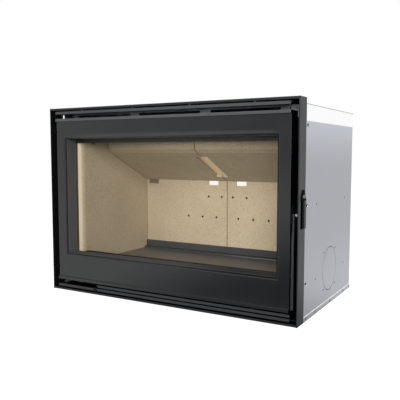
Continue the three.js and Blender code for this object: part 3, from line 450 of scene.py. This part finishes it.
# ------------------------------------------------------------------ black front frame
# Folded 3 mm sheet round the opening, with straps behind it for the casing and a slotted plate
# for warm air over the door. Stove paint is sprayed on and has a fine satin grain. The left cheek
# and the small parts in the gaps round the door are painted blacker, and the insides of the
# channels and of the right cheek black, all as painted shade. The slotted plate is a light grey
# as painted light, for it stands in shade.
# Black laid as painted shade where gaps and hollows are dark.
shade_black = tone(11, 11, 12)
dull = 1.0
satin = 0.0
dull_roughness = 0.9
dust_per_metre = 9.0
dust_range = (0.3, 0.75)
dust_gain = 1.2
gloss_clouds_per_metre = 14.0
gloss_unevenness = 0.08
grain_per_metre = 1400.0
grain_relief = 0.00002


def unshaded(place):
    """The same all over."""
    return []


def stove_paint(name, colour, roughness, shades=unshaded, gloss=0.5):
    """Heat-resistant paint: a dark colour with slight dust and gloss clouds and a fine grain. The
    shades, a function of the place on the piece, give rows of a field, the colour it turns the
    paint to, which is painted light and shade, and the finish there, satin or dull. Dull paint
    has no shine: it is laid as a rough metal of its own colour."""
    material, feed, place = new_finish(name, Specular_IOR_Level=gloss)
    dust = place.noise(dust_per_metre, 4.0).between(*dust_range)
    dusty = tuple(min(1.0, dust_gain * part) for part in colour[:3]) + (1.0,)
    painted = dust.blend(colour, dusty)
    dullness = 0.0 * dust
    for field, coat, finish in shades(place):
        painted = field.blend(painted, coat)
        dullness = dullness.larger(field * finish)
    gloss_clouds = place.noise(gloss_clouds_per_metre, 3.0) - 0.5
    feed(
        Base_Color=painted,
        Metallic=dullness,
        Roughness=roughness + gloss_unevenness * gloss_clouds + (dull_roughness - roughness) * dullness,
        Normal=bumped(place.noise(grain_per_metre), grain_relief),
    )
    return material


lip_inside = 0.0022
cheek_inside = 0.0026
cheek_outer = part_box("frame_right")[1].x


def channel_inside_shade(place):
    """Painted shade: black behind the lips of the top and bottom channels."""
    return [(place.axis(1).past(front_plane + lip_inside), shade_black, dull)]


def cheek_inside_shade(place):
    """Painted shade: black on the inner face of the right cheek and on the strap behind it."""
    return [(place.axis(0).short_of(cheek_outer - cheek_inside), shade_black, dull)]


cheek_paint = stove_paint("cheek_paint", tone(20, 22, 26), 0.42, cheek_inside_shade, 0.29)
channel_paint = stove_paint("channel_paint", tone(32, 33, 35), 0.42, channel_inside_shade, 0.3)
# Painted light: the slotted plate over the door is laid light grey, for it stands in shade.
outlet_plate_lit_paint = stove_paint("outlet_plate_lit_paint", tone(100, 101, 104), 0.5, gloss=0.4)
# Painted shade: blacker copies of the stove paint for the left cheek and the parts in the dark gaps
# round the door.
shaded_black_paint = stove_paint("shaded_black_paint", tone(9, 9, 10), 0.6, gloss=0.2)
hinge_shade_paint = stove_paint("hinge_shade_paint", tone(5, 5, 6), 0.9, gloss=0.1)
dress(cheek_paint, "frame_right")
dress(channel_paint, "frame_top", "frame_bottom")
dress(outlet_plate_lit_paint, "air_outlet_plate")
dress(shaded_black_paint, "frame_left", "air_slide", "air_lever", "catch_roller")
dress(hinge_shade_paint, "handle_bracket", "hinge_bracket_lower", "hinge_bracket_upper", "hinge_pin_lower",
      "hinge_pin_upper")

# ------------------------------------------------------------------ keeper
# Painted strip screwed to the outside of the right cheek, with the bolt that the catch meets.
# The strip's head, above its window for the catch, is black as painted shade.
window_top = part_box("keeper_bolt")[0].z - 0.0055


def shaded_head(place):
    """Painted shade: black above the top of the catch window."""
    return [(place.axis(2).past(window_top - fade / 2), shade_black, dull)]


keeper_bolt_paint = stove_paint("keeper_bolt_paint", tone(96, 97, 99), 0.45)
keeper_paint = stove_paint("keeper_paint", tone(21, 22, 24), 0.42, shaded_head, 0.29)
dress(keeper_bolt_paint, "keeper_bolt")
dress(keeper_paint, "keeper_strip")

# ------------------------------------------------------------------ air fins
# Narrow folded strips above and below the door that hide the air slots, and the plate with the
# air port behind the lower ones. The upper fin is painted a lighter grey as painted light, for the
# light it catches from above, and the plate a light grey as painted light, for it stands in
# shade; behind the fins the plate is black as painted shade.
bay_end = -0.321
bay_fade = 0.001


def shade_past_bay(place):
    """Painted shade: black from the end of the control bay on, behind the two fins."""
    return [(place.axis(0).past(bay_end, bay_fade), shade_black, dull)]


fin_paint = stove_paint("fin_paint", tone(62, 63, 65), 0.42)
low_fin_paint = stove_paint("low_fin_paint", tone(39, 40, 42), 0.42)
inlet_lit_paint = stove_paint("inlet_lit_paint", tone(92, 92, 94), 0.5, shade_past_bay)
dress(fin_paint, "top_fin")
dress(low_fin_paint, "lower_fin_long", "lower_fin_short")
dress(inlet_lit_paint, "air_inlet_plate")

# ------------------------------------------------------------------ firebox
# Welded 4 mm steel box with its collar, air channel and small steel fittings. Bare mill scale
# is blue-black with brown patches. The cover over the baffle's seam is bright pressed steel,
# with painted shade along its two long edges.
scale_metal = 0.3
scale_patches_per_metre = 22.0
warm_range = (0.42, 0.68)
scale_unevenness = 0.2
rolling_stretch = (4.0, 60.0, 60.0)
rolling_per_metre = 6.0
rolling_relief = 0.00004


def mill_scale(name, colour, warm, roughness, shades=unshaded):
    """Bare rolled steel: dark scale with warm patches and a long faint grain. The shades, a
    function of the place on the piece, give rows of a field and the colour it turns the scale to,
    which is painted light."""
    material, feed, place = new_finish(name, Metallic=scale_metal)
    patches = place.noise(scale_patches_per_metre, 5.0, 0.6)
    rolled = place.stretched(rolling_stretch).noise(rolling_per_metre, 3.0)
    scaled = patches.between(*warm_range).blend(colour, warm)
    for field, shade_factor in shades(place):
        scaled = field.blend(scaled, shade_factor)
    feed(
        Base_Color=scaled,
        Roughness=roughness + scale_unevenness * (patches - 0.5),
        Normal=bumped(rolled, rolling_relief),
    )
    return material


box_steel = mill_scale("firebox_scale", tone(36, 36, 38), tone(48, 45, 43), 0.55)
clip_steel = mill_scale("clip_steel", tone(124, 116, 106), tone(136, 124, 110), 0.5)
dress(box_steel, "firebox_wall_right", "firebox_wall_left", "firebox_wall_back",
      "firebox_floor", "firebox_roof", "flue_collar", "jet_air_duct")
dress(clip_steel, "lining_clip_right", "lining_clip_left", "baffle_rest_right", "baffle_rest_left")

cover_low, cover_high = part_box("baffle_cover")
cover_middle = (cover_high.x + cover_low.x) / 2
cover_unshaded_half = 0.0192
cover_clouds_per_metre = 30.0
cover_smears_per_metre = 60.0
cover_roughness = 0.26
cover_unevenness = 0.1
cover_steel, feed, place = new_finish("cover_steel", Metallic=1.0)
# Painted shade along the cover's two long edges, where it meets its slot in the boards.
cover_edge_shade = abs(place.axis(0) - cover_middle).past(cover_unshaded_half, rim_fade)
pressed = place.noise(cover_clouds_per_metre, 3.0).blend(tone(255, 247, 230), tone(244, 234, 216))
feed(
    Base_Color=cover_edge_shade.blend(pressed, tone(70, 58, 44)),
    Roughness=cover_roughness + cover_unevenness * place.noise(cover_smears_per_metre),
)
dress(cover_steel, "baffle_cover")

# ------------------------------------------------------------------ vermiculite lining
# Boards of pressed vermiculite: sandy, with rosy patches and flakes of brown mica, and slightly
# pitted. Their front noses are painted paler as painted light, the seams and the rims of the air
# jets are painted dark brown as painted shade, and each group of boards is darkened by a factor
# of its own as painted shade.
board_sand = tone(198, 186, 167)
board_pale = tone(224, 214, 197)
board_rose = tone(215, 197, 178)
board_brown = tone(180, 163, 138)
# Painted light on the boards' front noses.
nose_light = tone(226, 216, 200)
# Painted shade along the seams and round the air jets.
seam_shade_brown = tone(96, 78, 58)
board_clouds_per_metre = 7.0
board_blots_per_metre = 60.0
flakes_per_metre = 330.0
broad_share = 0.3
ground_range = (0.36, 0.64)
rose_range = (0.5, 0.7)
rose_strength = 0.6
flake_range = (0.84, 0.94)
flake_strength = 0.5
flake_share = 0.3
flake_relief = 0.0001
joint_width = 0.0013
joint_core = 0.6
side_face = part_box("hearth_plate")[1].x
nose_depth = 0.006
nose_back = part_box("lining_right")[0].y + nose_depth
nose_fade = 0.004
jet_rim = 0.0026
jets = ((0.041, 0.200), (0.095, 0.200), (0.150, 0.200), (0.021, 0.270), (0.071, 0.270))


def vermiculite(name, joints, shade_factor):
    """Pressed board, its colours darkened by the shade factor as painted shade, with the front noses
    painted paler as painted light. Joints give the distance of a place from each seam or rim
    that gets painted shade."""
    material, feed, place = new_finish(name, Roughness=0.9, Specular_IOR_Level=0.2)
    broad = place.noise(board_clouds_per_metre, 3.0)
    blots = place.noise(board_blots_per_metre, 3.0)
    fine = place.noise(flakes_per_metre, 3.0, 0.7)
    flakes = place.cells(flakes_per_metre)
    grain = broad * broad_share + fine * (1.0 - broad_share)
    ground = grain.between(*ground_range).blend(board_sand, board_pale)
    rosy = (rose_strength * blots.between(*rose_range)).blend(ground, board_rose)
    flaky = (flake_strength * flakes.between(*flake_range)).blend(rosy, board_brown)
    nose = place.axis(1).short_of(nose_back, nose_fade)
    coloured = nose.blend(flaky.stretched((shade_factor, shade_factor, shade_factor)), nose_light)
    for joint in joints(place):
        shaded = joint.between(joint_width, joint_core * joint_width)
        coloured = shaded.blend(coloured, seam_shade_brown)
    relief = fine + flakes * flake_share
    flat_faces = place.node("NewGeometry", {}, {}, "True Normal")
    feed(Base_Color=coloured, Normal=bumped(relief, flake_relief, Normal=flat_faces))
    return material


def centre_and_ends(place):
    """Distances from the middle seam, from where the boards meet the side lining and from the
    rims of the air jets, which all get painted shade."""
    across = abs(place.axis(0))
    folded = place.node("CombineXYZ", {}, {0: across, 1: 0.0, 2: place.axis(2)})
    rims = [folded.distance((x, 0.0, z)) - jet_rim for x, z in jets]
    return [across, side_face - across, *rims]


# The factors darken each group of boards as painted shade.
side_board = vermiculite("side_board", unshaded, 0.87)
baffle_board = vermiculite("baffle_board", centre_and_ends, 0.80)
back_board = vermiculite("back_board", centre_and_ends, 0.82)
dress(side_board, "lining_right", "lining_left")
dress(baffle_board, "baffle_right", "baffle_left")
dress(back_board, "lining_back_right", "lining_back_left")

# ------------------------------------------------------------------ hearth
# Thick steel plates laid loose in the firebox, blackened and slightly polished by handling: the
# hearth itself, an upright lip along its back and a log guard along its front. The hearth and
# the lip are painted brighter towards the left as painted light, and a painted highlight runs
# along the foot of the lip at the right.
lip_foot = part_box("hearth_rear_lip")[0].z + 0.002
left_of_hearth = (0.12, -0.3)
left_of_lip = (0.2, -0.16)
right_of_lip = (-0.05, 0.12)


def lit_left(place):
    """Painted light: a little brighter towards the left."""
    return [(place.axis(0).between(*left_of_hearth), tone(118, 120, 128))]


def lit_left_and_foot_glint(place):
    """Painted light: brighter towards the left, with a painted highlight along the foot at the right.
    """
    foot = place.axis(2).short_of(lip_foot, rim_fade)
    return [
        (place.axis(0).between(*left_of_lip), tone(78, 82, 90)),
        (foot * place.axis(0).between(*right_of_lip), tone(125, 128, 134)),
    ]


hearth_iron = mill_scale("hearth_iron", tone(92, 96, 109), tone(104, 107, 117), 0.36, lit_left)
lip_iron = mill_scale("lip_iron", tone(56, 61, 70), tone(59, 63, 70), 0.48, lit_left_and_foot_glint)
guard_iron = mill_scale("guard_iron", tone(36, 40, 52), tone(40, 43, 52), 0.48)
dress(hearth_iron, "hearth_plate")
dress(lip_iron, "hearth_rear_lip")
dress(guard_iron, "log_guard")

# ------------------------------------------------------------------ door
# Pressed steel door with a rolled opening edge, painted anthracite, and a clear pane of ceramic
# glass held from behind on a woven tape. Inside the window opening and on its rolled edge the
# paint is laid in dull greys as painted light and shade; a painted highlight runs above the
# window and along the top lip, and the door's outer edges are black as painted shade.
# Painted light and shade inside the window opening and on its rolled edge.
reveal_lit_grey = tone(116, 116, 118)
sill_lit_grey = tone(82, 83, 84)
shadow_grey = tone(58, 59, 61)
ceiling_lit_grey = tone(84, 86, 90)
edge_shade_grey = tone(36, 36, 38)
# Painted highlight along the rib above the window.
rib_highlight = tone(38, 39, 41)
# Painted highlight on the door's top lip.
lip_highlight = tone(72, 73, 75)
# Painted shade over the fire opening.
lintel_shade_grey = tone(44, 45, 47)
door_low, door_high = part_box("door_frame")
glass_low, glass_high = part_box("door_glass")
glass_overlap = 0.0085
reveal_side = glass_high.x - glass_overlap
reveal_top = glass_high.z - glass_overlap
reveal_bottom = glass_low.z + glass_overlap
reveal_start = 0.008
reveal_full = 0.013
fine_fade = 0.0003
roll_fade = 0.001
roll_width = 0.0035
roll_height = 0.0025
rib_start = 0.004
rib_end = 0.0135
rib_fade = 0.0015
rib_slope = 0.012
rib_highlight_span = (-0.32, -0.24)
sill_shaded = (0.06, 0.20)
edge_shaded = (0.02, 0.20)
lip_height = 0.0078
gap_width = 0.012
fire_top = 0.4455
surround_fade = 0.001


def door_shades(place):
    """Painted light and shade: dull greys inside the window opening and on its rolled edge, a
    painted highlight along the rib above the window that fades out to the left, a painted
    highlight on the top lip, and black painted shade on the door's outer edges."""
    left_to_right = place.axis(0)
    across = abs(left_to_right)
    height = place.axis(2)
    depth = place.axis(1).between(door_low.y + reveal_start, door_low.y + reveal_full)
    reveal = (depth * across.short_of(reveal_side + fine_fade, fine_fade)
              * height.past(reveal_bottom - 2 * fine_fade, fine_fade)
              * height.short_of(reveal_top + fine_fade, fine_fade))
    sill = reveal * height.short_of(reveal_bottom + 3 * fade)
    ceiling = reveal * height.past(reveal_top - 3 * fine_fade, 2 * fine_fade)
    beside = across.short_of(reveal_side + roll_width, roll_fade) * height.past(
        reveal_bottom - roll_width - roll_fade, roll_fade)
    upright_roll = across.past(reveal_side - fade / 2) * height.short_of(
        reveal_top + roll_height, roll_fade)
    lower_roll = height.short_of(reveal_bottom - fade / 2)
    roll = beside * upright_roll.larger(lower_roll)
    # Painted highlight above the window, fading out to the left.
    rib = (height.past(reveal_top + rib_start, rib_fade)
           * height.short_of(reveal_top + rib_end - rib_fade, rib_fade)
           * across.between(reveal_side, reveal_side - rib_slope)
           * left_to_right.between(*rib_highlight_span))
    # Painted highlight on the top lip.
    lit_lips = height.past(door_high.z - lip_height, 2 * fine_fade)
    outer = across.past(door_high.x - 2 * fine_fade, fine_fade)
    return [
        (reveal, reveal_lit_grey, dull),
        (sill, sill_lit_grey, dull),
        (sill * left_to_right.between(*sill_shaded), shadow_grey, dull),
        (ceiling, ceiling_lit_grey, dull),
        (rib, rib_highlight, satin),
        (lit_lips, lip_highlight, satin),
        (roll, shadow_grey, dull),
        (roll * left_to_right.between(*edge_shaded), edge_shade_grey, dull),
        (outer, shade_black, dull),
    ]


def shaded_surround(place):
    """Painted shade: black behind the gaps beside the door, and dark over the fire opening."""
    beside = abs(place.axis(0)).past(door_high.x - gap_width, surround_fade)
    above = place.axis(2).past(fire_top, surround_fade)
    return [(beside, shade_black, dull), (above, lintel_shade_grey, satin)]


door_paint = stove_paint("door_paint", tone(13, 15, 17), 0.24, door_shades, 0.8)
backing_paint = stove_paint("backing_paint", tone(70, 71, 74), 0.6)
# Painted light: the firebox front is laid a paler grey, for it stands in the door's shade.
firebox_front_lit_paint = stove_paint("firebox_front_lit_paint", tone(78, 79, 82), 0.6, shaded_surround)
dress(door_paint, "door_frame")
dress(backing_paint, "door_back_plate", "glass_rail_top", "glass_rail_bottom")
dress(firebox_front_lit_paint, "firebox_front")
dress(hinge_shade_paint, "hinge_ear_lower", "hinge_ear_upper")

glass_sheen = 0.35
glass, _, place = new_finish("ceramic_glass", Base_Color=tone(20, 20, 20), Roughness=0.03)
tree = glass.node_tree
clear = place.node("BsdfTransparent", {}, {"Color": tone(250, 248, 243)})
polished = Field(tree, tree.nodes["Principled BSDF"].outputs[0])
front_side = 1.0 - place.node("NewGeometry", {}, {}, "Backfacing")
mirror = glass_sheen * place.node("Fresnel", {}, {}) * front_side
pane = place.node("MixShader", {}, {0: mirror, 1: clear, 2: polished})
tree.links.new(pane.socket, tree.nodes["Material Output"].inputs["Surface"])
dress(glass, "door_glass")

# ------------------------------------------------------------------ door seal
# Braided glass-fibre rope pressed into the back of the door all round the window, and a flat
# woven tape of the same fibre under the glass.
braid_pitch = 0.008
strand_lift = 0.07
rope_width = 0.010
rope_corner = 0.012
weave_per_metre = 1500.0
weave_relief = 0.0002
seal_low, seal_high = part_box("door_seal")


def rounded_loop(half_width, low, high, corner, step):
    """Points (x, z) and outward normals round a rectangle with round corners, a step apart:
    each side is a straight run, and each corner a quarter turn about its own centre."""
    inner_width = half_width - corner
    inner_low = low + corner
    inner_high = high - corner
    centres = np.array([(inner_width, inner_low), (inner_width, inner_high),
                        (-inner_width, inner_high), (-inner_width, inner_low)])
    bend = np.linspace(-np.pi / 2, 0, round(corner * np.pi / 2 / step))
    points = []
    normals = []
    for number, (centre, next_centre) in enumerate(zip(centres, np.roll(centres, -1, axis=0))):
        turns = bend + number * np.pi / 2
        arc = np.stack([np.cos(turns), np.sin(turns)], axis=-1)
        run = next_centre - centre
        count = round(np.linalg.norm(run) / step)
        along = np.linspace(0, 1, count + 1)[1:-1, None]
        points += [centre + corner * arc, centre + corner * arc[-1] + along * run]
        normals += [arc, np.repeat(arc[-1:], count - 1, axis=0)]
    return np.concatenate(points), np.concatenate(normals)


def braided_rope(line, outward, width, depth, middle_depth):
    """Closed rope of points (steps, spokes, 3) along a line of (x, z) with outward normals. Its
    section is an ellipse whose radius sinks by the strand lift between strands: two families of
    strands run round it with and against the turn, as the product of two shifted sines."""
    travelled = np.append(0, np.cumsum(np.linalg.norm(np.diff(line, axis=0), axis=1)))[:, None]
    wave = 2 * np.pi * travelled / braid_pitch
    turns = np.linspace(0, 2 * np.pi, 16, endpoint=False)[None, :]
    strands = np.abs(np.sin(wave + 2 * turns) * np.sin(wave - 2 * turns))
    braid = 1 - strand_lift * (1 - strands)
    across = width / 2 * braid * np.cos(turns)
    x = line[:, :1] + outward[:, :1] * across
    y = middle_depth + depth / 2 * braid * np.sin(turns)
    z = line[:, 1:] + outward[:, 1:] * across
    return np.stack([x, y, z], axis=-1)


tape, feed, place = new_finish("glass_fibre", Roughness=0.95)
weave = place.noise(weave_per_metre)
feed(
    Base_Color=weave.blend(tone(104, 105, 108), tone(120, 120, 120)),
    Normal=bumped(weave, weave_relief),
)
dress(tape, "glass_gasket")

rope_line, rope_outward = rounded_loop(
    seal_high.x - rope_width / 2, seal_low.z + rope_width / 2, seal_high.z - rope_width / 2,
    rope_corner, braid_pitch / 6)
rope_points = braided_rope(
    rope_line, rope_outward, rope_width, seal_high.y - seal_low.y, (seal_low.y + seal_high.y) / 2)
rope = add_piece("seal_rope", [rope_points], tape, "door", 60.0, True)
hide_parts("door_seal")

# ------------------------------------------------------------------ handle
# Flat steel lever on the door's edge, painted a lighter grey; its lower end is pulled forward.
# The bolt that it turns on is plated, with a painted highlight on its crown and grey painted
# shade round it. The lever's side towards the frame and the arm of the catch are black as
# painted shade.
lever_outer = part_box("handle_lever")[1].x
bolt_low, bolt_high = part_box("handle_pivot_bolt")
bolt_middle = (bolt_low + bolt_high) / 2
arm_foot = bolt_high.z - 0.0025
arm_fade = 0.0005
crown_half = 0.0018
crown_fade = 0.0014


def lever_shades(place):
    """Painted shade: black on the side towards the frame and on the arm of the catch."""
    outer = place.axis(0).past(lever_outer - 2 * fine_fade, fine_fade)
    arm = place.axis(2).past(arm_foot, arm_fade)
    return [(outer, shade_black, dull), (arm, shade_black, dull)]


def crown_highlight(place):
    """Painted highlight on the right half of the bolt's crown, and grey painted shade round it."""
    crown = abs(place.axis(2) - bolt_middle.z).short_of(crown_half, crown_fade)
    right = place.axis(0).past(bolt_middle.x, arm_fade)
    return (crown * right).blend(tone(60, 61, 63), tone(190, 192, 196))


handle_paint = stove_paint("handle_paint", tone(42, 43, 45), 0.4, lever_shades, 0.3)
bolt_plating = plating("bolt_plating", 0.22, crown_highlight)
dress(handle_paint, "handle_lever")
dress(bolt_plating, "handle_pivot_bolt")

# ------------------------------------------------------------------ edges
# Sheet metal and boards have slightly rounded edges: faces in one plane are merged, and every
# corner is eased by a narrow bevel.
sheet_ease = 0.0006
board_ease = 0.0012
flat_angle = math.radians(0.5)
corner_angle = math.radians(40)


def ease_edges(width, *names):
    """Weld, flat-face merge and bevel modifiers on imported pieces."""
    for name in names:
        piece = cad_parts[name]
        weld = piece.modifiers.new("weld", "WELD")
        weld.merge_threshold = weld_distance
        merge = piece.modifiers.new("flat", "DECIMATE")
        merge.decimate_type = "DISSOLVE"
        merge.angle_limit = flat_angle
        bevel = piece.modifiers.new("bevel", "BEVEL")
        bevel.width = width
        bevel.segments = 2
        bevel.limit_method = "ANGLE"
        bevel.angle_limit = corner_angle


ease_edges(sheet_ease, "frame_left", "frame_right", "door_frame", "top_fin", "lower_fin_long",
           "lower_fin_short", "handle_lever", "air_outlet_plate")
ease_edges(board_ease, "lining_back_right", "lining_back_left", "baffle_right", "baffle_left")

# ------------------------------------------------------------------ floor
# Plain pale floor that keeps the insert's shadow. It looks white to the eye and in glass, and in
# metal it goes on from the surround: white behind, and in front dim on the right.
floor_half = 8.0
floor_drop = 0.0004
floor_white = 0.6
floor_glow = 0.85
floor_dim_side = 0.05
floor_bright_side = -0.35
front_dim = 0.1
left_lift = 0.68
behind_from = -0.45
behind_full = 0.20
black = (0.0, 0.0, 0.0, 1.0)
white = (1.0, 1.0, 1.0, 1.0)


def studio(where, dim_side, bright_side):
    """Level of the surround at a place or direction: white behind, and in front dim at one side
    and brighter towards the other."""
    behind = where.axis(1).between(behind_from, behind_full)
    front = front_dim + left_lift * where.axis(0).between(dim_side, bright_side)
    return front + (1.0 - front) * behind


def rays(start, name):
    """1 for one kind of ray and 0 for the others."""
    return start.node("LightPath", {}, {}, name)


floor_mesh = bpy.data.meshes.new("floor")
floor_mesh.from_pydata(
    [(x * floor_half, y * floor_half, -floor_drop) for x, y in ((-1, -1), (1, -1), (1, 1), (-1, 1))],
    [], [(0, 1, 2, 3)])
floor = bpy.data.objects.new("floor", floor_mesh)
bpy.context.scene.collection.objects.link(floor)

pale, feed, place = new_finish(
    "pale_floor", Roughness=1.0, Specular_IOR_Level=0.0, Emission_Strength=1.0)
seen = rays(place, "Is Camera Ray") + rays(place, "Is Transmission Ray")
mirrored = rays(place, "Is Glossy Ray") * studio(place, floor_dim_side, floor_bright_side)
lit = floor_white * (1.0 - rays(place, "Is Glossy Ray"))
feed(
    Base_Color=lit.blend(black, white),
    Emission_Color=(floor_glow * seen + mirrored).blend(black, white),
)
floor_mesh.materials.append(pale)

# ------------------------------------------------------------------ surround and lamps
# Light from all round at a plain level. It looks white to the eye, and in metal and glass it is
# white behind and overhead and dim in front. One large soft lamp stands in front of the insert,
# and a narrow one shines in through the door's window.
surround_light = 0.5
surround_dim_side = -0.3
surround_bright_side = -0.8
overhead_from = 0.05
overhead_full = 0.35
softbox_side = 1.2
softbox_power = 82.0
softbox_place = (1.35, -2.75, 1.1)
softbox_target = (0.0, 0.0, 0.3)
spot_power = 125.0
spot_cone = math.radians(18)
spot_softness = 0.15
spot_place = (0.3, -2.6, 0.4)
spot_target = (0.01, 0.14, 0.2)

world = bpy.data.worlds.new("surround")
world.use_nodes = True
start = Field(world.node_tree)
direction = start.node("TexCoord", {}, {}, "Generated")
to_eye = rays(start, "Is Camera Ray")
to_shiny = rays(start, "Is Glossy Ray") + rays(start, "Is Transmission Ray")
around = studio(direction, surround_dim_side, surround_bright_side)
around = around * (surround_light + (1.0 - surround_light) * to_shiny)
overhead = direction.axis(2).between(overhead_from, overhead_full) * rays(start, "Is Glossy Ray")
lifted = around + (1.0 - around) * overhead
sky = world.node_tree.nodes["Background"]
sky.inputs["Color"].default_value = white
world.node_tree.links.new((to_eye + (1.0 - to_eye) * lifted).socket, sky.inputs["Strength"])
bpy.context.scene.world = world


def aimed(lamp, place, target):
    """Lamp object at a place, with its beam turned to a target."""
    holder = bpy.data.objects.new(lamp.name, lamp)
    holder.location = place
    reach = np.array(target) - np.array(place)
    dip = math.atan2(reach[2], math.hypot(reach[0], reach[1]))
    holder.rotation_euler = Euler((math.pi / 2 + dip, 0, math.atan2(-reach[0], reach[1])))
    bpy.context.scene.collection.objects.link(holder)


softbox = bpy.data.lights.new("front_softbox", "AREA")
softbox.shape = "SQUARE"
softbox.size = softbox_side
softbox.energy = softbox_power
aimed(softbox, softbox_place, softbox_target)

spot = bpy.data.lights.new("window_spot", "SPOT")
spot.energy = spot_power
spot.spot_size = spot_cone
spot.spot_blend = 1.0
spot.shadow_soft_size = spot_softness
aimed(spot, spot_place, spot_target)

bpy.context.scene.view_settings.view_transform = "Standard"
